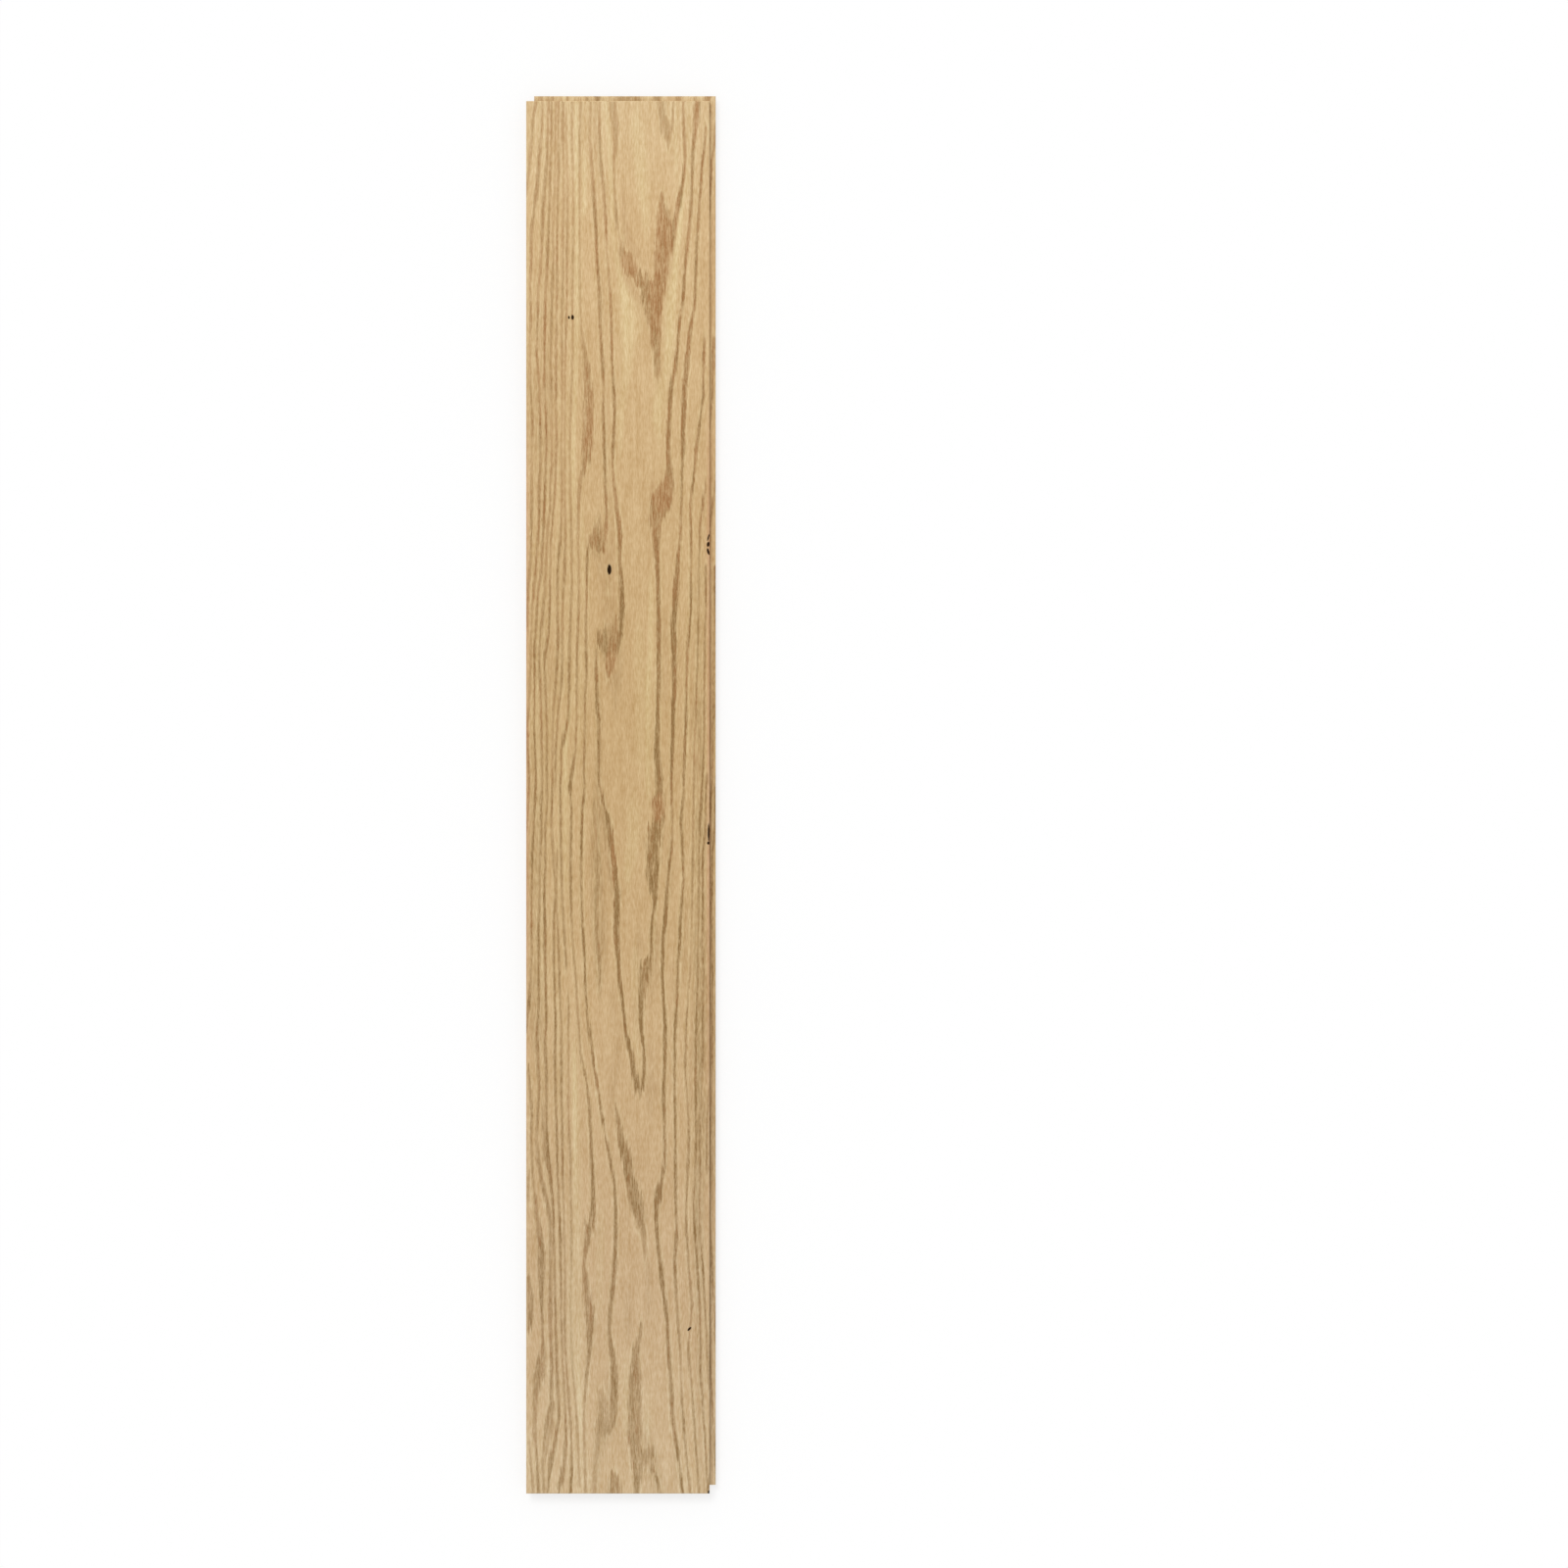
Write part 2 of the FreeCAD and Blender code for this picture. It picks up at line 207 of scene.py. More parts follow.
        (113, 577.5, 1.6, 3), (148, 578, 1.6, 3), (190, 579.5, 1.6, 4), (253, 578.5, 2, 6),
        (307, 578.5, 1.4, 5), (333, 577.8, 1.8, 7), (378, 576.5, 1.4, 4), (455, 576, 1.6, 3),
        (500, 576.5, 1.6, 4), (545, 577, 1.8, 4), (583, 576.2, 2.2, 6), (613, 574, 2, 4),
        (665, 574, 2, 4), (700, 573, 2.2, 6), (715, 570.8, 2, 4), (745, 568.3, 1.8, 5),
        (770, 567, 1.6, 5), (805, 566.8, 1.4, 3)],
    "seventh_low": [
        (870, 568.5, 1.4, 4), (884, 568.5, 1.4, 4), (912, 567.8, 1.2, 3), (965, 570, 1.8, 6),
        (1012, 571, 2, 5), (1042, 573, 1.6, 3), (1080, 573, 2, 7), (1122, 573, 1.6, 5),
        (1150, 573.8, 2, 6), (1195, 574.2, 2, 6), (1235, 575.3, 1.6, 5), (1295, 576.6, 1.4, 4),
        (1355, 576.4, 1.5, 8), (1390, 577.8, 1.6, 5), (1432, 581, 1.6, 7), (1470, 583.2, 1.5, 7),
        (1503, 583.6, 2.2, 9), (1521, 582.5, 2, 9)],
    "eighth": [
        (104, 584, 1.8, 4), (145, 583.7, 1.8, 5), (185, 584.8, 1.4, 3), (220, 585, 1.5, 4),
        (252, 585, 1.6, 4), (275, 584.5, 2.5, 3), (312, 584, 1.6, 5), (335, 584.4, 1.4, 5),
        (345, 584.2, 1.6, 3), (380, 584, 1.6, 5), (430, 582, 1.4, 4), (468, 581.2, 1.4, 3),
        (509, 582.3, 1.5, 3), (531, 582.8, 1.6, 5), (558, 583.4, 1.8, 5), (597, 583.6, 1.6, 5),
        (614, 583, 1.8, 5), (655, 581.5, 1.6, 5), (674, 581, 2.5, 6), (703, 580.8, 1.8, 7),
        (732, 580, 2, 5), (747, 577, 4, 7), (766, 573, 1.6, 6), (787, 572.6, 1.2, 5),
        (808, 571.7, 1.4, 8), (845, 572.2, 1.8, 5), (878, 572.8, 1.5, 6), (915, 573.5, 1.8, 4),
        (927, 574.5, 1.8, 6), (968, 576.8, 1.6, 5), (984, 577.8, 1.8, 6), (990, 578, 1.4, 3)],
    "ninth": [
        (104, 593, 2.5, 4), (140, 591.5, 1.8, 4), (177, 591.5, 1.5, 4), (228, 591.4, 1.5, 4),
        (283, 591.3, 1.8, 3), (318, 592.3, 1.5, 3), (345, 594, 2.4, 3), (362, 596.7, 3.4, 4),
        (378, 599, 5.5, 6), (400, 601, 8, 6), (428, 601, 9, 7), (456, 600, 9, 7), (466, 599.5, 7, 7),
        (476, 597, 6, 6), (490, 592.2, 4, 5), (515, 590.5, 2.5, 5), (550, 589.8, 1.4, 4),
        (575, 590.5, 1.6, 4), (625, 590.6, 1.6, 6), (680, 588.5, 1.6, 5), (722, 588.8, 1.6, 4),
        (765, 587.3, 1.6, 5), (790, 584.3, 2.2, 6), (808, 581, 2.2, 8), (825, 583.3, 1.6, 7),
        (862, 582.5, 2.5, 5), (916, 582.6, 1.8, 7), (962, 584.3, 1.8, 4), (985, 586.8, 1.8, 4),
        (1037, 590, 1.8, 5), (1077, 592.5, 1.4, 5), (1106, 599.2, 1.8, 7), (1131, 601.3, 1.8, 6),
        (1150, 602.5, 2.4, 6), (1187, 604.3, 2.5, 8), (1228, 605.3, 3.5, 8), (1241, 604.5, 5, 8),
        (1252, 602.5, 9.5, 8), (1264, 600, 6, 6), (1275, 598, 4.5, 6), (1293, 595.8, 2.2, 5),
        (1318, 598.5, 5.5, 6), (1332, 601.5, 9, 7), (1350, 603, 7, 7), (1362, 601.7, 4.6, 8),
        (1372, 602, 3.5, 8), (1410, 598.3, 2.5, 6), (1440, 596, 1.8, 5), (1497, 596.8, 2.4, 5),
        (1523, 597.5, 2, 4)],
    "ninth_beside": [
        (1017, 580, 1.2, 4), (1033, 580.5, 1.2, 6), (1060, 580, 1.4, 3), (1115, 580.3, 1.2, 3),
        (1132, 579.7, 1.5, 6), (1157, 581, 1.4, 5), (1186, 582.5, 1.6, 5), (1218, 582.5, 1.4, 5),
        (1266, 583.4, 1.5, 6), (1317, 582.5, 1.2, 3), (1350, 582.8, 1.5, 3), (1384, 584, 1.6, 5),
        (1415, 586.2, 1.4, 4), (1467, 589.5, 1.2, 5), (1520, 591.3, 1.8, 5)],
    "tenth": [
        (104, 603, 2, 5), (130, 601.8, 1.8, 3), (155, 603, 2.5, 5), (183, 605, 2.5, 5),
        (206, 606.5, 3, 7), (236, 608, 2.5, 8), (266, 609.5, 2, 8), (300, 612, 3, 6),
        (330, 612.5, 2.6, 7), (350, 613.5, 2.6, 6), (384, 615.5, 2.8, 8), (400, 616.3, 1.2, 4),
        (418, 615.6, 2.2, 8), (465, 617, 2.2, 7), (505, 618, 2.2, 7), (533, 619, 1.8, 7),
        (540, 618.5, 3, 7)],
    "tenth_patch": [
        (533, 612, 5, 4), (540, 611.5, 11, 5), (546, 609.5, 17, 6), (553, 609.5, 18, 7),
        (559, 612, 11, 7), (564, 611.5, 6, 6)],
    "tenth_low": [
        (556, 600, 2, 7), (572, 599, 1.6, 7), (610, 598.6, 1.6, 6), (642, 597.8, 1.8, 5),
        (675, 598.5, 2, 7), (693, 598.5, 2, 4), (715, 596.8, 1.6, 6), (748, 596.8, 1.8, 4),
        (782, 595.8, 1.8, 6), (800, 596.6, 1.4, 5), (823, 594.4, 1.8, 8), (857, 593.6, 1.6, 9),
        (895, 593, 1.5, 5), (944, 594.3, 1.6, 8), (972, 596.5, 1.4, 9), (1006, 597.3, 2, 8),
        (1046, 600, 1.4, 5), (1061, 602.6, 1.8, 6), (1085, 606.3, 1.8, 8), (1110, 610, 2, 9),
        (1143, 615, 2, 7), (1168, 619.7, 1.8, 8), (1205, 626.5, 2.2, 7), (1233, 628.3, 2, 8),
        (1260, 628.3, 3, 8), (1275, 628, 3.4, 8), (1293, 627, 4, 8), (1310, 626, 3.4, 7),
        (1325, 624, 3, 7), (1362, 621.5, 2.5, 7), (1390, 627, 6, 8), (1405, 627.5, 7, 8),
        (1424, 626.5, 7, 7), (1440, 626, 8, 8), (1447, 625, 8, 7), (1453, 622, 12, 7),
        (1458, 618, 14, 6)],
    "tenth_foot": [
        (1416, 612, 4, 3), (1432, 615, 6, 5), (1446, 618, 13, 6), (1451, 617, 18, 7),
        (1460, 614, 10, 6), (1472, 610.5, 4, 5), (1497, 607.5, 3.4, 4), (1523, 606, 5, 4)],
    "faint_middle": [
        (820, 606, 2, 4), (840, 607.5, 3, 4), (870, 609.5, 2, 5), (897, 609.5, 3, 4),
        (917, 609.5, 2, 3), (945, 609, 4, 5), (967, 610.8, 3.5, 5), (977, 612, 2.6, 7),
        (985, 611.8, 2.6, 5), (1003, 612.3, 1.6, 7), (1010, 611, 2, 4)],
}

MIDDLE_BANDS = {
    "outer_left": [
        (104, 612, 2, 3), (132, 611.8, 2, 7), (165, 613, 2, 6), (195, 616.3, 2.2, 6),
        (228, 618.3, 2.2, 7), (262, 619.5, 1.5, 3), (300, 623, 2.2, 6), (345, 624.3, 2.2, 7),
        (370, 624.8, 1.6, 8), (400, 626.5, 2.4, 8), (425, 627, 2.4, 8), (450, 626, 2.4, 8),
        (470, 625.3, 1.8, 6), (492, 626.5, 2, 6), (530, 631, 4, 7), (545, 633, 4.2, 7),
        (578, 632.3, 2.2, 6), (610, 635, 5, 8), (623, 634.8, 4.5, 9), (638, 633.3, 4.4, 8),
        (655, 633, 4, 8), (663, 630, 3, 6)],
    "knot_tail": [(586, 621.8, 1.2, 4), (603, 621.9, 1, 2)],
    "outer_patch": [
        (636, 627, 12, 4), (641, 626, 15, 5), (645, 623.7, 20, 6), (655, 622, 21.5, 8),
        (663, 620.5, 20, 8), (668, 621.5, 13, 7)],
    "outer_tail": [(668, 622.5, 12, 8), (672, 622.4, 9.5, 8), (680, 622.4, 7, 8), (688, 621.7, 3, 6)],
    "outer_low": [
        (665, 608.5, 1.6, 6), (690, 608.6, 2.6, 7), (728, 609.8, 3, 8), (735, 611, 3, 7),
        (775, 611.2, 2.4, 6), (797, 611.3, 2.2, 7), (820, 616, 2.2, 7), (835, 620.4, 4.6, 8),
        (858, 623.6, 4.4, 8), (893, 627.7, 4.4, 9), (915, 630, 5, 9), (950, 628.8, 5, 9),
        (975, 630.3, 4, 9), (1000, 632, 2.6, 8), (1040, 637.5, 3, 9), (1058, 640.2, 3, 8),
        (1072, 643.6, 4.4, 8), (1095, 646.8, 2.8, 8), (1106, 650, 7, 8), (1111, 652, 8, 8),
        (1114, 652.5, 6, 5)],
    "flame_left_arm": [
        (104, 625, 6, 5), (121, 627, 8, 5), (135, 628.5, 6, 5), (157, 627.5, 3, 4), (163, 626.3, 2, 5),
        (190, 626.8, 2, 4), (230, 629.5, 2, 5), (242, 632, 2, 3), (250, 635, 3, 4), (256, 638, 12, 6),
        (262, 639.6, 13, 6), (270, 641.3, 12.5, 7), (276, 644.8, 12.5, 7), (281, 650, 15, 7),
        (287, 657, 17, 7), (295, 664, 17, 8)],
    "flame_stem": [
        (200, 676, 2, 4), (208, 674.7, 6, 6), (217, 676, 11, 7), (234, 676.8, 14, 8),
        (250, 677, 14.5, 8), (267, 675.5, 13, 8), (278, 674, 13, 8), (289, 669.7, 18.5, 8),
        (300, 665, 21, 8), (312, 667.2, 16.5, 8), (323, 666.9, 13, 8), (334, 667.6, 10.5, 8),
        (345, 668.9, 8, 7), (356, 669.9, 6, 6), (378, 671, 5, 5), (386, 671, 5, 3)],
    "top_flame": [
        (104, 674, 8, 5), (117, 675.5, 5, 5), (128, 679.5, 9, 5), (138, 681, 6, 5), (147, 682, 3, 3)],
    "top_flame_arm": [(104, 687, 1.4, 4), (120, 686.5, 2, 5), (128, 685.5, 3, 5)],
    "flame_right_arm": [
        (104, 697, 2.5, 5), (133, 697.8, 2, 7), (163, 699, 2.2, 6), (180, 697.3, 2.8, 9),
        (200, 694, 2.6, 7), (212, 692, 4.2, 8), (222, 690, 5, 8), (243, 685.5, 6, 8),
        (258, 685.5, 2.5, 7), (262, 685, 1.5, 5)],
    "dark_flame": [
        (1132, 629, 2, 6), (1150, 632.5, 5, 6), (1163, 634.7, 7.5, 8), (1177, 638.3, 9.5, 9),
        (1190, 640.8, 8, 8), (1204, 643.2, 7, 8), (1222, 648, 11.5, 6), (1234, 650, 10, 8),
        (1248, 653, 6.5, 7), (1260, 656, 5, 5), (1283, 658.5, 2, 3)],
    "foot_pillar": [
        (1357, 653.5, 3, 6), (1368, 652, 5, 6), (1378, 648, 6, 6), (1386, 648.3, 6, 7),
        (1397, 648, 9, 7), (1419, 647.7, 11.5, 7), (1441, 647.3, 12.5, 6), (1464, 647.5, 13, 7),
        (1480, 649, 11, 7), (1488, 648.5, 10, 8), (1504, 650, 8, 8), (1523, 649.5, 4.5, 6)],
    "foot_arch": [(1478, 661, 10, 6), (1487, 660, 16, 7), (1495, 658, 8, 4)],
    "foot_arch_left": [(1490, 656, 4, 6), (1502, 651.5, 5, 7)],
    "foot_arch_right": [(1492, 663, 5, 6), (1510, 670.5, 3, 8), (1523, 674, 4, 4)],
    "foot_blot": [(1505, 627.5, 3, 5), (1509, 627.5, 7, 7), (1523, 628, 13, 7)],
}

RIGHT_BANDS = {
    "first": [
        (104, 711.5, 6, 7), (120, 710.5, 5, 7), (133, 708.8, 3, 7), (161, 706.5, 2.2, 8),
        (200, 705.7, 2, 7), (231, 703.5, 2.2, 7), (264, 700, 3, 8), (280, 698.5, 3, 9),
        (318, 695.5, 1.8, 7), (334, 693.3, 2.4, 9), (361, 690.3, 2.2, 9), (373, 688.4, 2.6, 9),
        (400, 684.5, 3, 8), (428, 682.8, 3, 9), (453, 681.3, 3.4, 8), (470, 682, 3.8, 8),
        (478, 682, 5.5, 7), (484, 682, 7.5, 7), (491, 681.5, 10.5, 7), (498, 679.3, 14.5, 7),
        (506, 675.6, 17.5, 8), (513, 673.2, 18, 8), (522, 671, 15.5, 8), (530, 670, 12.5, 8),
        (538, 669, 9, 8), (552, 669, 6.5, 8), (565, 670, 4, 9), (597, 671.4, 3, 8),
        (640, 672.1, 3.4, 8), (685, 671.9, 3.6, 8), (718, 671.2, 3.5, 7), (752, 670.5, 3.8, 8),
        (770, 670.2, 4.8, 8), (793, 672, 6, 8), (807, 673.5, 7, 7), (815, 671, 11, 7),
        (826, 671.5, 10, 8), (832, 671.7, 8.5, 8), (843, 668.3, 12.3, 8), (851, 667.2, 13.2, 8),
        (865, 666.3, 12.2, 8), (882, 665.5, 11.7, 8), (893, 665.6, 10, 9), (904, 666.5, 7.5, 9),
        (912, 667, 4.8, 8), (920, 668, 2.4, 8), (945, 664.8, 2.4, 8), (971, 664.5, 2.6, 6),
        (977, 662.5, 6, 7), (983, 659, 10.5, 7), (990, 658.2, 12, 7), (1000, 657, 10.5, 7),
        (1008, 655.5, 8, 6), (1018, 654.3, 5.5, 7), (1037, 653.8, 3.6, 8), (1047, 654, 3, 9),
        (1070, 657, 2.2, 8), (1095, 657.2, 2.4, 7), (1110, 656, 4, 8)],
    "second": [
        (130, 720.3, 1.4, 4), (147, 719.5, 2, 7), (163, 716.8, 2, 8), (202, 714.2, 2, 8),
        (242, 711.3, 2, 7), (272, 710.2, 2.2, 8), (310, 708.8, 2.2, 7), (326, 706, 2.4, 8),
        (363, 701, 4, 8), (390, 698.5, 4, 8), (420, 697.5, 4, 8), (436, 696.3, 3, 9), (453, 697, 4, 7),
        (470, 696.3, 2, 8), (505, 695.3, 1.6, 6), (548, 694.2, 2, 6), (572, 691.5, 3, 8),
        (606, 689, 5, 8), (640, 687, 5, 9), (680, 687.6, 4, 9), (700, 688, 4, 9), (733, 686.6, 3, 9),
        (766, 686, 2.6, 8), (797, 685, 1.8, 9), (850, 686, 1.4, 5), (866, 685, 2, 8),
        (898, 681.3, 2, 7), (918, 680, 3, 9), (945, 677.9, 3.2, 9), (963, 676.3, 2.8, 9),
        (997, 675.8, 1.8, 9), (1048, 678.6, 3, 9), (1078, 678.2, 3, 8), (1100, 677.5, 2.2, 7),
        (1117, 676.8, 3.4, 9), (1150, 678.2, 2, 7), (1188, 678, 2.4, 7), (1202, 675, 3.2, 8),
        (1215, 671.8, 5, 9), (1228, 669.6, 4, 9), (1245, 669, 3, 9), (1282, 672.7, 3, 8),
        (1318, 676.9, 3.4, 9), (1352, 681, 2.4, 9), (1382, 682.2, 3.4, 8), (1400, 684, 3, 6),
        (1428, 685.3, 3, 8), (1448, 686.3, 2.6, 8), (1473, 689.8, 2.8, 8), (1510, 694.8, 2, 9),
        (1523, 696.3, 2.6, 8)],
    "third": [
        (345, 719.3, 1.8, 6), (372, 717.8, 2.8, 8), (380, 717.3, 1.4, 4), (408, 717.7, 2.4, 9),
        (415, 716.5, 2, 6), (436, 712.8, 1.8, 8), (460, 710.3, 2.4, 6), (489, 707.5, 2, 9),
        (511, 704.5, 2, 6), (564, 705.3, 1.7, 6), (575, 705, 1.6, 4), (624, 705, 1.8, 9),
        (662, 701.5, 2.4, 6), (700, 700.3, 1.8, 5), (738, 700, 2.6, 7), (777, 698, 2.4, 6),
        (800, 697.2, 1.8, 8), (808, 698, 1.4, 4), (835, 694.5, 2.4, 7), (870, 696.5, 2, 7),
        (898, 697.5, 2, 7), (935, 694.5, 2.4, 7), (963, 693.5, 2.4, 9), (982, 691.8, 2, 6),
        (1020, 690.8, 2.2, 8), (1065, 688.3, 1.6, 9), (1105, 688.2, 1.8, 7), (1152, 689, 1.8, 8),
        (1213, 689.3, 2, 8), (1256, 690.6, 2.2, 7), (1287, 688.3, 2.6, 9), (1325, 690, 1.8, 5),
        (1357, 693, 1.8, 7), (1387, 694.5, 1.6, 4), (1432, 695.6, 1.6, 6), (1454, 697.6, 1.8, 9),
        (1473, 699.2, 1.2, 6), (1497, 701.5, 1.8, 8), (1523, 704, 1.6, 5)],
    "fourth": [
        (495, 720, 1.4, 5), (518, 716.7, 1.8, 8), (535, 714.5, 1.8, 6), (575, 713, 1.4, 5),
        (625, 712.8, 1.4, 4), (645, 712.6, 2, 5), (700, 710.7, 1.8, 5), (727, 710.4, 1.8, 6),
        (762, 708.5, 1.6, 5), (790, 708.3, 1.4, 6), (855, 707, 1.6, 4), (885, 706.8, 1.8, 6),
        (950, 705.5, 1.4, 3), (985, 704.5, 1.6, 3), (1040, 700.6, 1.2, 6), (1093, 699, 1.8, 6),
        (1115, 701, 1.2, 4), (1152, 703, 1.6, 7), (1183, 702.3, 1.8, 6), (1232, 700, 1.4, 5),
        (1258, 700.3, 1.6, 7), (1295, 702.8, 2.2, 6), (1328, 706.3, 2.2, 6), (1347, 704.5, 1.6, 5),
        (1372, 702, 1.8, 6), (1413, 705.2, 1.4, 6), (1443, 707.7, 1.5, 8), (1493, 711.2, 1.8, 6),
        (1523, 713, 1.6, 5)],
    "fifth": [
        (575, 720, 1.6, 7), (610, 720, 1.6, 8), (620, 720, 1.2, 4), (665, 718.8, 1.6, 6),
        (722, 718.6, 1.6, 7), (757, 718.2, 1.6, 5), (788, 717, 2, 7), (836, 714.5, 1.8, 8),
        (867, 713.3, 1.4, 6), (916, 712.6, 1.6, 6), (945, 712.5, 1.6, 4), (998, 712, 2, 6),
        (1036, 710.6, 2, 8), (1077, 709.8, 2.2, 7), (1110, 709.6, 1.8, 8), (1152, 710.4, 1.8, 8),
        (1198, 709.3, 1.4, 6), (1228, 707.3, 1.8, 7), (1248, 708.6, 1.8, 9), (1295, 711.8, 1.8, 9),
        (1335, 714, 1.8, 6), (1375, 715, 1.8, 7), (1395, 714.3, 2.2, 9), (1420, 716, 2, 7),
        (1460, 718.8, 1.8, 8), (1500, 721, 1.6, 8), (1520, 722.8, 2.4, 9)],
    "sixth": [
        (790, 721.5, 1.6, 6), (812, 720.5, 1.4, 8), (853, 719.5, 1.4, 5), (870, 717.4, 1.8, 8),
        (903, 717, 1.6, 7), (947, 717, 1.6, 8), (957, 716.3, 1.8, 6), (992, 717.8, 1.6, 7),
        (1025, 717, 1.8, 7), (1083, 717, 1.8, 8), (1112, 716.5, 1.2, 3), (1130, 714, 1.8, 7),
        (1185, 714, 1.8, 7), (1245, 713.7, 1.5, 6), (1296, 717.3, 1.8, 8), (1331, 719, 1.4, 7),
        (1380, 722, 1.8, 5), (1415, 723, 1.6, 5)],
    "edge_low": [(1110, 723, 1.2, 4), (1143, 721, 1.6, 7), (1190, 721.2, 1.6, 6), (1200, 722, 1.6, 5)],
}

# Soft-edged strips of pale late wood, and of faint brown wood, with the same four values, where
# the last one, the strength, goes up to 14
PALE_STRIPS = [
    [(104, 618, 5, 6), (150, 622, 7, 8), (240, 626, 5, 9), (270, 629.5, 6, 9), (285, 633, 8, 9),
     (310, 640, 22, 9), (335, 642, 25, 9), (360, 640, 17, 6), (400, 636, 10, 5), (446, 633, 6, 6)],
    [(190, 699, 3, 9), (225, 694.5, 7, 9), (265, 689.5, 8, 9), (289, 687, 12, 10), (317, 684, 13, 10),
     (345, 683, 12, 10), (373, 680.5, 10, 9), (400, 675, 14, 9), (430, 672.5, 14, 8)],
    [(115, 690, 5, 6), (165, 690, 5, 6)],
    [(104, 703, 5, 9), (160, 702, 4, 9), (185, 701, 4, 9)],
    [(104, 588, 4, 9), (240, 589, 5, 9), (340, 588, 7, 9), (450, 585.5, 4, 9), (520, 585.5, 4, 9)],
    [(165, 596, 8, 7), (215, 596, 8, 6), (240, 582, 8, 5)],
    [(130, 650, 16, 6), (190, 656, 14, 7), (225, 659, 10, 6)],
    [(540, 595, 3, 9), (600, 595, 4, 9)],
    [(600, 664, 6, 7), (660, 664, 6, 8), (700, 661, 9, 9), (800, 661.5, 8, 8)],
    [(650, 652, 12, 4), (770, 653, 12, 4)],
    [(660, 593, 5, 6), (760, 592, 5, 6)],
    [(700, 584, 5, 6), (770, 577, 5, 9), (900, 577, 4, 9)],
    [(825, 647, 14, 5), (860, 646, 14, 6), (890, 641, 12, 6)],
    [(980, 648, 9, 5), (1015, 648, 8, 5)],
    [(1080, 586, 6, 9), (1150, 588, 10, 9), (1240, 588, 10, 7), (1315, 586, 14, 9), (1345, 587, 17, 9),
     (1385, 587, 13, 9), (1410, 590, 8, 9), (1450, 592, 4, 9)],
    [(1250, 614, 10, 5), (1330, 612, 9, 4)],
    [(1400, 638, 8, 6), (1450, 638, 8, 7)],
    [(1425, 662, 8, 2), (1455, 661, 10, 5)],
    [(1060, 648, 6, 9), (1085, 653, 5, 5), (1097, 653, 3, 5)],
]
STAINS = [
    [(104, 608, 8, 7), (150, 609, 8, 7), (175, 611, 4, 4)],
    [(205, 636, 6, 6), (240, 639, 11, 7), (262, 648, 14, 7)],
    [(262, 634, 6, 7), (276, 638, 12, 6), (288, 643, 16, 6), (298, 647, 16, 5), (308, 652, 8, 3)],
    [(255, 684.5, 8, 9), (275, 682.5, 7, 9), (290, 681, 6, 6)],
    [(280, 552, 30, 3), (345, 553, 30, 6), (400, 554, 30, 9), (450, 552, 30, 7), (490, 552, 26, 4)],
    [(300, 664, 16, 4), (340, 669, 10, 3), (385, 670, 6, 2)],
    [(370, 593, 7, 4), (410, 598, 10, 5), (450, 599, 10, 5), (490, 592, 6, 5)],
    [(295, 615, 5, 4), (370, 616, 6, 4), (450, 621, 8, 5), (530, 623, 11, 6), (545, 622, 14, 7),
     (575, 622, 22, 7), (600, 621, 22, 6), (640, 624, 18, 6)],
    [(505, 666, 7, 8), (530, 665.5, 8, 8), (560, 668, 7, 8)],
    [(542, 610, 12, 8), (560, 607, 18, 8), (575, 612, 8, 8)],
    [(632, 624, 18, 8), (660, 624, 26, 10), (690, 627, 18, 9), (710, 628, 12, 6)],
    [(590, 712, 20, 4), (700, 712, 20, 4), (745, 712, 16, 12), (790, 712, 14, 10)],
    [(560, 555, 20, 1), (690, 553, 30, 5), (780, 545, 20, 5)],
    [(700, 609, 6, 6), (730, 613, 8, 6), (800, 610, 9, 8), (850, 608, 12, 12), (940, 611, 17, 13),
     (985, 612, 13, 9), (1010, 612, 6, 8)],
    [(815, 613, 10, 9), (840, 617, 15, 11), (870, 621, 14, 10), (910, 627, 10, 10)],
    [(815, 546, 20, 8), (900, 546, 20, 6), (1060, 548, 20, 8)],
    [(870, 684, 11, 4), (905, 684, 8, 4)],
    [(830, 714, 14, 9), (855, 714, 14, 11), (900, 714, 14, 5), (960, 714, 17, 14), (1060, 714, 17, 14),
     (1150, 715, 16, 12), (1250, 712, 14, 11), (1300, 713, 12, 7), (1430, 714, 12, 6),
     (1523, 718, 12, 4)],
    [(950, 668, 12, 7), (985, 671, 16, 8), (1010, 664, 12, 6)],
    [(985, 688, 14, 4), (1040, 690, 12, 3), (1100, 685, 10, 2)],
    [(1020, 626, 12, 4), (1065, 631, 10, 3)],
    [(1415, 620, 8, 5), (1435, 622, 12, 7), (1455, 618, 22, 8), (1490, 609, 12, 7), (1523, 606, 10, 6)],
    [(1465, 660, 12, 6), (1480, 661, 22, 7), (1495, 664, 26, 7), (1523, 670, 26, 5)],
    [(1340, 602, 10, 9), (1352, 603, 13, 9), (1370, 601, 8, 9)],
    [(1385, 553, 10, 9), (1405, 550, 14, 9), (1425, 547, 8, 9)],
    [(1120, 555, 8, 9), (1180, 556, 8, 9)],
    [(1483, 690, 12, 4), (1502, 690, 12, 4)],
    [(1331, 641, 10, 4), (1354, 641, 10, 4)],
    [(645, 678, 8, 4), (700, 678, 8, 4)],
    [(1031, 650, 10, 4), (1046, 652, 10, 4)],
    [(1081, 664, 12, 4), (1110, 666, 16, 6), (1130, 664, 12, 3)],
    [(1075, 630, 10, 4), (1120, 624, 10, 5)],
    [(1080, 705, 12, 6), (1125, 705, 12, 6)],
    [(930, 700, 16, 4), (990, 697, 16, 4)],
    [(965, 652, 14, 5), (985, 650, 10, 4)],
    [(1290, 661, 10, 5), (1330, 661, 10, 4)],
]
